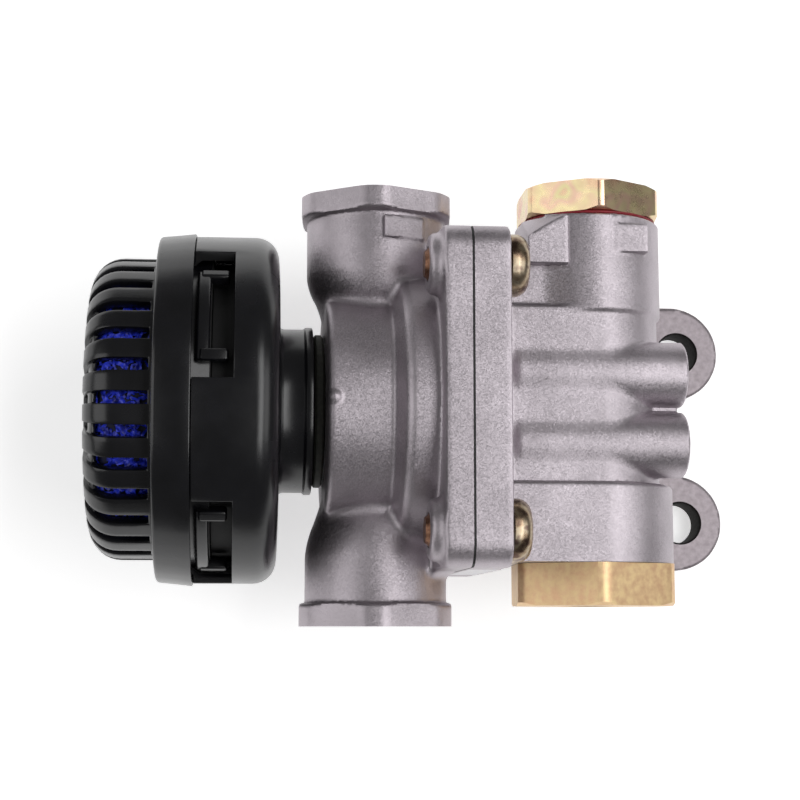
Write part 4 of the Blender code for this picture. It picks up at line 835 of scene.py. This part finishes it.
def upper_form(x, y, z):
    """Upper casting: square flange, waist with two nozzles, plug boss, lower block and lugs."""
    joint = UPPER_LOW.x
    back = joint + UPPER_FLANGE
    across = x - CROSS_STATION
    flange = square_flange(x, y, z, joint - PAST_CUT, back)
    waist = both(tongue(x, z, CROSS_STATION, WAIST), between(y, WAIST_LOW, TOP_BOSS_LOW + 1), 0.8)
    waist = both(waist, joint + 1 - x)
    low_block = both(tongue(x, z, CROSS_STATION, BLOCK),
                     between(y, BLOCK_LOW - PAST_CUT, BLOCK_HIGH), 1.2)
    low_block = both(low_block, joint + 1 - x)
    boss = both(disc(across, z, TOP_BOSS), between(y, TOP_BOSS_LOW, TOP_BOSS_HIGH), 0.8)
    web = both(between(z, -WEB, WEB), between(x, joint + 1, CROSS_STATION))
    web_top = np.where(across < WEB_STEP, WEB_TOP, TOP_BOSS_HIGH)
    web = both(joined(disc(across, z, TOP_BOSS), web, 3.0), between(y, TOP_BOSS_LOW, web_top), 0.8)
    left_pad = bar(between(x, CROSS_STATION - TOP_BOSS, CROSS_STATION + LEFT_PAD_END),
                   between(y, *LEFT_PAD_SIDES), between(z, 0, LEFT_PAD_TOP), 0.5, 0.5)
    cone = (np.hypot(across, z) - LEFT_PAD_CONE + y - TOP_BOSS_HIGH) * math.sqrt(0.5)
    left_pad = both(left_pad, cone, 0.3)
    right_pad = bar(between(x, *[CROSS_STATION + end for end in RIGHT_PAD_ENDS]),
                    between(y, *RIGHT_PAD_SIDES), between(z, 0, RIGHT_PAD_TOP), 0.5, 0.5)
    nozzles = both(disc(np.abs(y) - NOZZLE_OFFSET, z - NOZZLE_HEIGHT, NOZZLE), x - NOZZLE_END, 0.8)
    nozzles = both(nozzles, NOZZLE_START - x, 2.0)
    bridge = bar(between(y, -BRIDGE_HALF, BRIDGE_HALF), between(z, 2, BRIDGE_TOP),
                 between(x, CROSS_STATION, BRIDGE_END), 0.4, 0.5)
    nozzles = joined(nozzles, bridge, 0.6)
    form = joined(flange, waist, 4.0)
    form = joined(form, np.minimum(boss, web), 1.0)
    for shape, fillet in ((low_block, 0.7), (left_pad, 0.4), (right_pad, 0.4), (nozzles, 0.8)):
        form = joined(form, shape, fillet)
    top = LUG_BACK + LUG_THICKNESS
    middle = (FOOT_LOW + FOOT_HIGH) / 2
    length, width = between(x, FOOT_LEFT, FOOT_RIGHT), between(y, FOOT_LOW, FOOT_HIGH)
    outline = both(length, width, 3.0)
    for height in (LUG_HIGH, LUG_LOW):
        lug = both(tongue(x, y - height, LUG_STATION, LUG), LUG_ROOT - x, 1.0)
        outline = joined(outline, lug, 1.5)
    plate = both(outline, between(z, LUG_BACK, top), 0.9)
    rise = between(z, LUG_BACK + 1, RIB_TOP)
    rib = bar(length, between(y, middle - RIB_HALF, middle + RIB_HALF), rise, 1.5, 0.5)
    cross_span = between(x, CROSS_STATION - CROSS_RIB_HALF, CROSS_STATION + CROSS_RIB_HALF)
    cross = bar(cross_span, width, rise, 1.5, 0.5)
    foot = joined(joined(plate, rib, 2.5), cross, 2.5)
    return np.maximum(joined(form, foot, 2.0), LUG_BACK - z)


def make_upper_casting():
    joint = UPPER_LOW.x
    reach = FLANGE_HALF + 5
    metal = [MACHINED]
    centre = (CROSS_STATION, 0, 0)
    cutters = [
        block("joint_cut", (joint - 5, -reach, -reach), (joint, reach, reach), metal),
        block("block_cut", (joint + UPPER_FLANGE + 0.1, BLOCK_LOW - 5, -25),
              (60, BLOCK_LOW, 25), metal),
        round_cutter("piston_recess", joint - 1, joint + PISTON_RECESS, PISTON_BORE),
        turned("cross_bore", [(BLOCK_LOW - 1, 0), (BLOCK_LOW - 1, CROSS_BORE),
                              (TOP_BOSS_HIGH - 11, CROSS_BORE), (TOP_BOSS_HIGH - 11, CROSS_BORE + 1),
                              (TOP_BOSS_HIGH + 1, CROSS_BORE + 1), (TOP_BOSS_HIGH + 1, 0)],
               metal, "Y", centre, 72)]
    floor = NOZZLE_END - NOZZLE_BORE_DEPTH
    root = NOZZLE_BORE - 0.4
    profile = [(floor, 0), (floor, root)] + thread(floor + 1, 1.0, 10, root, NOZZLE_BORE + 0.2)
    profile += [(NOZZLE_END - 0.8, NOZZLE_BORE), (NOZZLE_END, NOZZLE_BORE + 0.8),
                (NOZZLE_END + 1, NOZZLE_BORE + 0.8), (NOZZLE_END + 1, 0)]
    for number, side in enumerate((1, -1)):
        place = (0, side * NOZZLE_OFFSET, NOZZLE_HEIGHT)
        cutters.append(turned(f"nozzle_bore_{number}", profile, metal, "X", place, 48))
    for number, (up, out) in enumerate(screw_corners()):
        cutters.append(round_cutter(f"upper_hole_{number}", joint - 1, joint + UPPER_FLANGE + 1,
                                    SCREW_HOLE, "X", (0, up, out), 32))
    top = LUG_BACK + LUG_THICKNESS
    for number, height in enumerate((LUG_HIGH, LUG_LOW)):
        cutters.append(turned(f"lug_hole_{number}", [
            (LUG_BACK - 1, 0), (LUG_BACK - 1, LUG_HOLE), (top - 0.8, LUG_HOLE),
            (top - 0.2, LUG_HOLE + 0.2), (top + 0.2, LUG_HOLE + 0.8), (top + 0.2, 0)],
            metal, "Z", (LUG_STATION + LUG_HOLE_SHIFT, height, 0), 64))
    low = (joint - PAST_CUT - ROOM, -FLANGE_HALF - ROOM, LUG_BACK - ROOM)
    high = (UPPER_HIGH.x + ROOM, TOP_BOSS_HIGH + ROOM, FLANGE_HALF + ROOM)
    item = casting("upper_casting", upper_form, low, high, UPPER_CELL, cutters)
    item.data.materials.append(SHADED_METAL)
    item.data.materials.append(SHADED_FOOT_SKIN)

    def in_lug_hole(spot):
        near = min(math.hypot(spot.x - LUG_STATION - LUG_HOLE_SHIFT, spot.y - height)
                   for height in (LUG_HIGH, LUG_LOW))
        return near < LUG_HOLE + 0.5 and spot.z > LUG_BACK + 0.1

    # Faces of the low foot and lugs take the darker skin as painted shade
    refinish(item, 3, lambda spot: spot.z < top + 0.2)
    # Walls of the lug holes take the dark metal as painted shade
    refinish(item, 2, in_lug_hole)
    place_piece(item, "valve_body", "cast_aluminium", "upper_body")


def make_screws():
    """Pan head screws with a hexagon socket. The tip of each stands out of its boss."""
    under = UPPER_LOW.x + UPPER_FLANGE + 0.1
    top, rim = under + SCREW_HEAD_HEIGHT, under + SCREW_RIM
    crown = SCREW_HEAD_HEIGHT - SCREW_RIM
    profile = [(SCREW_TIP, 0), (SCREW_TIP, 3.0)]
    profile += thread(SCREW_TIP + 0.4, SCREW_PITCH, 16, SCREW_ROOT, SCREW_CREST)
    profile += [(under - 1, SCREW_CREST), (under, SCREW_CREST), (under, SCREW_HEAD - 0.5),
                (under + 0.4, SCREW_HEAD), (rim, SCREW_HEAD)]
    for step in range(1, 7):
        angle = math.pi / 2 * step / 6
        profile.append((rim + crown * math.sin(angle),
                        SCREW_HEAD - SCREW_CROWN * (1 - math.cos(angle))))
    profile.append((top, 0))
    for number, (up, out) in enumerate(screw_corners(), 1):
        place = (0, up, out)
        screw = turned(f"pan_head_screw_{number}", profile, [SCREW_ZINC_PAINTED_DARK, COPPER], "X", place, 48, 40)
        rings = [ring_points(s, [SOCKET] * 6, "X", place) for s in (top - SOCKET_DEPTH, top + 1)]
        combine(screw, "DIFFERENCE", new_piece(f"socket_{number}", *skin(rings, False), [SCREW_ZINC_PAINTED_DARK]))
        settle(screw, 40)
        refinish(screw, 1, lambda spot: spot.x < 0)
        place_piece(screw, "valve_body", "gold_zinc", f"flange_screw_{number}")


def make_plug():
    """Hexagon plug with both ends of its hexagon turned, and its red washer."""
    centre = (CROSS_STATION, 0, 0)
    seat = PLUG_HIGH.y - PLUG_HEAD
    pocket = PLUG_LOW.y + PLUG_POCKET_DEPTH
    count = 144
    rows = [(pocket, 0), (pocket, PLUG_POCKET), (PLUG_LOW.y, PLUG_POCKET), (PLUG_LOW.y, PLUG_SHANK),
            (PLUG_SHOULDER_LOW, PLUG_SHANK), (PLUG_SHOULDER_LOW, PLUG_SHOULDER),
            (seat, PLUG_SHOULDER)]
    rings = [ring_points(s, [r] * count if r else [0], "Y", centre) for s, r in rows]
    rings += hexagon_rings(seat, PLUG_HIGH.y, PLUG_FLATS, PLUG_CORNER, PLUG_TURN, (True, True), "Y",
                           centre, count)
    points, faces = skin(rings, False)
    plug = new_piece("zinc_plug", points, faces, [ZINC], 20)
    place_piece(plug, "valve_body", "gold_zinc", "hex_plug")
    low, high = WASHER_LOW.y, WASHER_HIGH.y
    face = WASHER - 0.3
    washer = turned("fibre_washer", [
        (low, WASHER_HOLE), (low, face), (low + WASHER_EDGE, WASHER), (high - WASHER_EDGE, WASHER),
        (high, face), (high, WASHER_HOLE)], [FIBRE], "Y", centre, 96)
    place_piece(washer, "valve_body", "red_fibre", "plug_washer")


def make_brass_fitting():
    centre = (CROSS_STATION, 0, 0)
    low, seat = FITTING_LOW.y, FITTING_LOW.y + FITTING_HEAD
    count = 144
    rings = hexagon_rings(low, seat, FITTING_FLATS, FITTING_CORNER, FITTING_TURN, (True, False), "Y",
                          centre, count)
    start, end = FITTING_GROOVE_SPAN
    rows = [(seat, FITTING_SHANK), (start, FITTING_SHANK), (start, FITTING_GROOVE),
            (end, FITTING_GROOVE), (end, FITTING_SHANK), (FITTING_HIGH.y, FITTING_SHANK),
            (FITTING_HIGH.y, FITTING_BORE)]
    rows += thread(low + 14, -THREAD_PITCH, 8, FITTING_BORE, FITTING_BORE + 0.7)
    rows += [(low + FITTING_MOUTH, FITTING_BORE), (low, FITTING_BORE + 1.0)]
    rings += [ring_points(s, [r] * count, "Y", centre) for s, r in rows]
    points, faces = skin(rings, True)
    fitting = new_piece("brass_hexagon_fitting", points, faces, [BRASS], 20)
    place_piece(fitting, "valve_body", "brass", "brass_fitting")


def stepped_shell(name, layers, angles, level_of, materials, sharp=30.0):
    """Shell of revolution about X with slots and grooves, as a list of layers of rows."""
    points, faces, corners = [], [], {}
    last, columns = len(layers[0]) - 1, len(angles)

    def corner(layer, row, column):
        station, radius = layers[layer][row]
        turn = column % columns if radius else 0
        key = (round(station, 5), round(radius, 5), turn)
        if key not in corners:
            corners[key] = len(points)
            angle = angles[turn]
            points.append((station, radius * math.sin(angle), radius * math.cos(angle)))
        return corners[key]

    def face(*keys):
        found = list(dict.fromkeys(corner(*key) for key in keys))
        if len(found) > 2:
            faces.append(found)

    def level(row, column):
        return level_of(row, column % columns) if 0 <= row < last else 0

    def wall(levels, start, end):
        for layer in range(min(levels), max(levels)):
            face((layer, *start), (layer, *end), (layer + 1, *end), (layer + 1, *start))

    for row in range(last + 1):
        for column in range(columns):
            here = level(row, column)
            if here:
                for layer in (0, here):
                    face((layer, row, column), (layer, row, column + 1),
                         (layer, row + 1, column + 1), (layer, row + 1, column))
            wall((here, level(row - 1, column)), (row, column), (row, column + 1))
            if row < last:
                wall((here, level(row, column - 1)), (row, column), (row + 1, column))
    return new_piece(name, points, faces, materials, sharp)


def make_cage():
    """Slotted cap with rounded ribs, the collar behind it and the sleeve inside the housing."""
    corner = CAGE - CAGE_SHOULDER
    middle = CAGE_TIP + CAGE_DOME + CAGE_SHOULDER
    dome = CAGE_TIP + CAGE_DOME * (GROOVE_START / corner) ** 2
    sleeve, sleeve_inner = HOUSING_RIM - 2.3, HOUSING_RIM - 4.3
    floor = COLLAR_LEFT + 2.2
    bore = HOUSING_RIM + 0.3
    end = COLLAR_RIGHT + 4.4
    shoulder_angles = (0, 12, 25, SLOT_OPENS_AT, 50, 60, 70, 80, 90)

    def front(depth):
        rows = [(CAGE_TIP + depth, 0), (CAGE_TIP + CAGE_DOME * (12 / corner) ** 2 + depth, 12),
                (dome + depth, GROOVE_START)]
        for angle in shoulder_angles:
            turn = math.radians(angle)
            reach = CAGE_SHOULDER - depth
            rows.append((middle - reach * math.cos(turn), corner + reach * math.sin(turn)))
        rows.append(((middle + COLLAR_LEFT) / 2, CAGE - depth))
        rows.append((COLLAR_LEFT - 0.9, CAGE - depth))
        return rows

    outer = front(0) + [(COLLAR_LEFT, CAGE), (COLLAR_LEFT, 41.9), (COLLAR_LEFT + 0.5, 42.4),
                        (COLLAR_LEFT + 5, 42.85), (COLLAR_RIGHT, 43.3), (COLLAR_RIGHT, bore),
                        (floor, bore), (floor, sleeve), (end, sleeve)]
    tail = len(outer) - len(front(0))
    inner_tail = [(COLLAR_LEFT, CAGE - CAGE_WALL)] + [(floor, sleeve_inner)] * (tail - 2)
    inner_tail.append((end, sleeve_inner))
    layers = [front(CAGE_WALL) + inner_tail, front(GROOVE_DEPTH) + inner_tail, outer]
    slot_columns, rib_columns = 1, 4
    pitch = 360 / SLOTS
    angles = []
    for index in range(SLOTS):
        start = SLOT_FIRST - SLOT_ANGLE / 2 + index * pitch
        angles.append(start)
        for step in range(rib_columns):
            angles.append(start + SLOT_ANGLE + step * (pitch - SLOT_ANGLE) / rib_columns)
    angles = [math.radians(angle) for angle in angles]
    opening = 3 + shoulder_angles.index(SLOT_OPENS_AT)
    last_slot = len(front(0)) - 2
    per_slot = slot_columns + rib_columns

    def level_of(row, column):
        in_slot = column % per_slot == 0
        if in_slot and opening <= row <= last_slot:
            return 0
        if in_slot and 2 <= row < opening:
            return 1
        return 2

    cage = stepped_shell("slotted_cage", layers, angles, level_of, [NYLON, SHADE_PAINTED_NYLON])
    round_edges(cage, 0.45, 35)
    settle(cage, 40)
    # The sleeve's faces inside the housing take the darker nylon as painted shade
    refinish(cage, 1, lambda spot: spot.x > COLLAR_RIGHT + 0.02)
    place_piece(cage, "valve_body", "black_plastic", "silencer_cage")


def make_housing():
    """Moulded cup with its neck and four windows in front of the collar."""
    inner = HOUSING - HOUSING_WALL
    rim_inner = HOUSING_RIM - 2.0
    right = HOUSING_LEFT + WINDOW_LENGTH
    left = HOUSING_LEFT - 1.6
    spigot = HOUSING_HIGH.x
    turns = [math.pi / 2 * step / 8 for step in range(9)]
    outer = [(spigot, SPIGOT), (NECK_RIGHT, SPIGOT), (NECK_RIGHT, NECK_LIP),
             (NECK_RIGHT - NECK_LIP_LENGTH, NECK_LIP), (NECK_RIGHT - NECK_LIP_LENGTH - 0.3, NECK),
             (NECK_LEFT + 1.4, NECK), (NECK_LEFT + 0.4, NECK + 0.4), (NECK_LEFT, NECK + 1.4)]
    floor = (NECK_LEFT - HOUSING_WALL, SPIGOT_BORE)
    inside = [(spigot, SPIGOT_BORE)] + [floor] * (len(outer) - 1)
    outer += [(NECK_LEFT - HOUSING_EDGE * (1 - math.cos(a)),
               HOUSING - HOUSING_EDGE * (1 - math.sin(a))) for a in turns]
    small = HOUSING_EDGE - HOUSING_WALL
    inside += [(NECK_LEFT - HOUSING_WALL - small * (1 - math.cos(a)),
                inner - small * (1 - math.sin(a))) for a in turns]
    outer += [(right, HOUSING), (HOUSING_LEFT, HOUSING), (HOUSING_LEFT, HOUSING_RIM),
              (left, HOUSING_RIM), (RIM_LEFT, HOUSING_RIM)]
    inside += [(right, inner), (HOUSING_LEFT + 1.6, inner), (HOUSING_LEFT, rim_inner),
               (left, rim_inner), (RIM_LEFT, rim_inner)]
    first, last = len(outer) - 5, len(outer) - 3
    columns = 120
    step = 360 / columns
    start = WINDOW_FIRST - WINDOW_ANGLE / 2
    angles = [math.radians(start + index * step) for index in range(columns)]
    per_window = columns // WINDOWS
    open_columns = round(WINDOW_ANGLE / step)

    def level_of(row, column):
        return 0 if first <= row <= last and column % per_window < open_columns else 1

    housing = stepped_shell("silencer_cup", [inside, outer], angles, level_of, [NYLON, SHADE_PAINTED_NYLON])
    round_edges(housing, 0.3, 35)
    settle(housing, 40)
    # Inward faces of the cup take the darker nylon as painted shade
    for face in housing.data.polygons:
        radius = math.hypot(face.center.y, face.center.z) / MM
        if face.center.x / MM < NECK_LEFT and radius < HOUSING - 0.6:
            inward = face.normal.y * face.center.y + face.normal.z * face.center.z < 0
            face.material_index = int(inward)
    place_piece(housing, "valve_body", "black_plastic", "silencer_housing")


def bent_block(stations, radii, degrees, steps=6):
    """Rings of a block that follows the sleeve from one angle to another."""
    rings = []
    for step in range(steps + 1):
        angle = math.radians(degrees[0] + (degrees[1] - degrees[0]) * step / steps)
        ring = [(stations[0], radii[0]), (stations[0], radii[1]), (stations[1], radii[1]),
                (stations[1], radii[0])]
        rings.append([Vector((s, r * math.sin(angle), r * math.cos(angle))) for s, r in ring])
    return rings


def make_hooks():
    """Snap hooks of the sleeve, one bracket in each window: a bar with an arm at each end."""
    inner, outer = HOUSING_RIM - 3.6, HOUSING_RIM - 0.6
    for window in range(WINDOWS):
        centre = WINDOW_FIRST + window * 360 / WINDOWS
        ends = (centre - HOOK_HALF_ANGLE, centre + HOOK_HALF_ANGLE)
        parts = [bent_block((HOOK_LEFT, HOOK_LEFT + 3.2), (inner, outer), ends, 16)]
        for side in (-1, 1):
            ends = sorted((centre + side * HOOK_ARM_ANGLE, centre + side * (HOOK_HALF_ANGLE + 0.2)))
            parts.append(bent_block((HOOK_LEFT + 0.8, HOOK_RIGHT), (inner + 0.3, outer + 0.3), ends, 4))
        hook = new_piece(f"snap_hook_{window + 1}", *gather(parts), [NYLON])
        round_edges(hook, 0.7, 35, 3)
        settle(hook, 40)
        place_piece(hook, "valve_body", "black_plastic")


def make_painted_shade_sheets():
    """Dark sheets of painted shade inside the housing: one behind the windows, and a second one close
    to the rim at the back.
    """
    for name, radii, angles in (("inner_shade_sheet", (34.9, 36.2), (-40, 320)),
                                ("back_shade_sheet", (HOUSING_RIM - 3.4, HOUSING_RIM - 2.5), (92, 268))):
        rings = bent_block((COLLAR_RIGHT + 4.6, NECK_LEFT - 3.0), radii, angles, 60)
        screen = new_piece(name, *skin(rings, False), [SHADE_PAINTED_NYLON])
        place_piece(screen, "valve_body", "black_plastic")


def make_mesh_filling():
    """Crumpled knitted mesh behind the slots: ribbons over a core that follows the cap, in darker blue
    as painted shade between the threads.
    """
    random.seed(7)
    radius = PAD_HIGH.z
    corner = CAGE - CAGE_SHOULDER
    middle = CAGE_TIP + CAGE_DOME + CAGE_SHOULDER
    bend = radius - corner

    def surface(station):
        """Reach of the filling at a station, round its shoulder."""
        back = min(max(middle - station, 0), bend)
        return corner + math.sqrt(bend ** 2 - back ** 2)

    profile = [(PAD_LEFT + 0.9, 0), (PAD_LEFT + 0.9, corner - 2.0)]
    for step in range(7):
        station = middle - bend + 0.9 + (bend - 0.9) * step / 6
        profile.append((station, surface(station) - 1.0))
    profile += [(COLLAR_LEFT, radius - 1.0), (PAD_HIGH.x, radius - 1.0), (PAD_HIGH.x, 14),
                (PAD_LEFT + 7.5, 14), (PAD_LEFT + 7.5, 0)]
    core = turned("mesh_core", profile, [SHADED_YARN, SHADE_PAINTED_NYLON], count=96)
    # Behind the collar the core takes the darker nylon as painted shade
    refinish(core, 1, lambda spot: spot.x > COLLAR_LEFT)
    place_piece(core, "valve_body", "blue_mesh", "silencer_pad")
    ribbons = []
    for _ in range(RIBBONS):
        angle = random.uniform(0, 2 * math.pi)
        station = random.uniform(middle - 3.8, COLLAR_LEFT)
        heading = random.gauss(math.pi / 2, 0.8)
        phase = random.uniform(0, 6.28)
        width = random.uniform(0.3, 0.6)
        lift = random.uniform(0.1, 0.9)
        rings = []
        for step in range(12):
            heading += random.gauss(0, 0.4)
            station += RIBBON_STEP * math.cos(heading)
            angle += RIBBON_STEP * math.sin(heading) / radius
            station = min(max(station, middle - 4.2), COLLAR_LEFT + 0.5)
            depth = surface(station) - lift + 0.35 * math.sin(phase + step * 1.3)
            out = Vector((0, math.sin(angle), math.cos(angle)))
            round_way = Vector((0, math.cos(angle), -math.sin(angle)))
            side = Vector((1, 0, 0)) * math.sin(heading) - round_way * math.cos(heading)
            side = (side + out * math.sin(phase + step * 0.8)).normalized()
            thick = side.cross(Vector((1, 0, 0)) + round_way).normalized()
            thick *= RIBBON_THICKNESS
            centre = out * min(depth, surface(station) - 0.35) + Vector((station, 0, 0))
            rings.append([centre + side * width, centre + thick, centre - side * width,
                          centre - thick])
        ribbons.append(rings)
    threads = new_piece("mesh_threads", *gather(ribbons), [YARN], 60)
    place_piece(threads, "valve_body", "blue_mesh")


def make_neck_seal():
    low, high = SEAL_LOW.x, SEAL_HIGH.x
    seal = turned("neck_ring", [
        (low, 14.5), (low, 18.4), (low + 0.5, 19.0), (high - 0.5, 19.0), (high, 18.4),
        (high, 14.5)], [SEAL], count=96)
    place_piece(seal, "valve_body", "grey_seal", "neck_seal")


FINISH_OF_SLOT = {
    "black_rubber": RUBBER,
    "turned_aluminium": TURNED,
    "spring_steel": STEEL,
}


def dress_inner_parts():
    """Give the CAD nodes that stay in view their finish."""
    for part in frame["record"]["subparts"]:
        finish = FINISH_OF_SLOT.get(part["material_slot"])
        node = frame["nodes"][part["node"]]
        if finish and not node.hide_render:
            node.data.materials.clear()
            node.data.materials.append(finish)


def soft_box(name, lean, far, size, power):
    """Rectangular lamp over the valve, leaning from the vertical towards +X by so many degrees."""
    lamp = bpy.data.lights.new(name, "AREA")
    lamp.shape = "RECTANGLE"
    lamp.size, lamp.size_y = size
    lamp.energy = power
    item = bpy.data.objects.new(name, lamp)
    angle = math.radians(lean)
    item.location = VALVE + Vector((math.sin(angle), 0, math.cos(angle))) * far
    item.rotation_euler = (0, angle, 0)
    bpy.context.scene.collection.objects.link(item)


def any_ray(tree, *kinds):
    """1 for a ray of any of these kinds, and else 0."""
    path = add(tree, "ShaderNodeLightPath")
    seen = path.outputs[kinds[0]]
    for kind in kinds[1:]:
        either = add(tree, "ShaderNodeMath", {"operation": "MAXIMUM"},
                     _0=seen, _1=path.outputs[kind])
        seen = either.outputs[0]
    return seen


def make_studio():
    """Pale floor, soft lamps and a grey surround."""
    mesh = bpy.data.meshes.new("floor")
    reach = 3.0
    mesh.from_pydata([(-reach, -reach, 0), (reach, -reach, 0), (reach, reach, 0), (-reach, reach, 0)],
                     [], [(0, 1, 2, 3)])
    floor = bpy.data.objects.new("floor", mesh)
    bpy.context.scene.collection.objects.link(floor)
    material = bpy.data.materials.new("white_paper")
    material.use_nodes = True
    tree = material.node_tree
    shader = tree.nodes["Principled BSDF"]
    shader.inputs["Base Color"].default_value = linear("#F2F2F2")
    shader.inputs["Roughness"].default_value = 0.9
    shader.inputs["Specular IOR Level"].default_value = 0.0
    seen = any_ray(tree, "Is Camera Ray", "Is Glossy Ray", "Is Transmission Ray")
    glow = add(tree, "ShaderNodeMath", {"operation": "MULTIPLY"}, _0=seen, _1=FLOOR_GLOW)
    shader.inputs["Emission Color"].default_value = (1, 1, 1, 1)
    tree.links.new(glow.outputs[0], shader.inputs["Emission Strength"])
    mesh.materials.append(material)

    world = bpy.data.worlds.new("studio")
    bpy.context.scene.world = world
    world.use_nodes = True
    tree = world.node_tree
    shiny = any_ray(tree, "Is Glossy Ray", "Is Transmission Ray")
    level = add(tree, "ShaderNodeMath", {"operation": "MULTIPLY_ADD"},
                _0=shiny, _1=WORLD_GLOSS - WORLD_LEVEL, _2=WORLD_LEVEL)
    strength = add(tree, "ShaderNodeMix", {"data_type": "FLOAT"},
                   _0=any_ray(tree, "Is Camera Ray"), _2=level.outputs[0], _3=1.0)
    background = tree.nodes["Background"]
    background.inputs["Color"].default_value = linear("#FFFFFF")
    tree.links.new(strength.outputs[0], background.inputs["Strength"])
    soft_box("strip_overhead", 23.0, 1.0, (0.32, 1.2), 4.9)
    soft_box("left_box", -56.0, 1.0, (0.8, 0.9), 3.1)
    soft_box("right_box", 50.0, 1.0, (0.4, 0.8), 1.7)
    bpy.context.scene.view_settings.view_transform = "Standard"


def make_camera():
    """Camera where the photograph's stood, almost straight above and a little to the lower left."""
    look_at = VALVE + LOOKED_AT * MM
    stand = look_at + CAMERA_STAND * MM
    lens = bpy.data.cameras.new("camera")
    lens.sensor_width = 36.0
    lens.lens = FOCAL_LENGTH
    lens.clip_start = 0.01
    camera = bpy.data.objects.new("camera", lens)
    forward = (look_at - stand).normalized()
    right = forward.cross(Vector((0, 1, 0))).normalized()
    up = right.cross(forward)
    turn = Matrix((right, up, -forward)).transposed()
    camera.matrix_world = Matrix.Translation(stand) @ turn.to_4x4()
    bpy.context.scene.collection.objects.link(camera)
    bpy.context.scene.camera = camera


make_lower_casting()
make_upper_casting()
make_screws()
make_plug()
make_brass_fitting()
make_cage()
make_housing()
make_hooks()
make_painted_shade_sheets()
make_mesh_filling()
make_neck_seal()
dress_inner_parts()
make_studio()
make_camera()
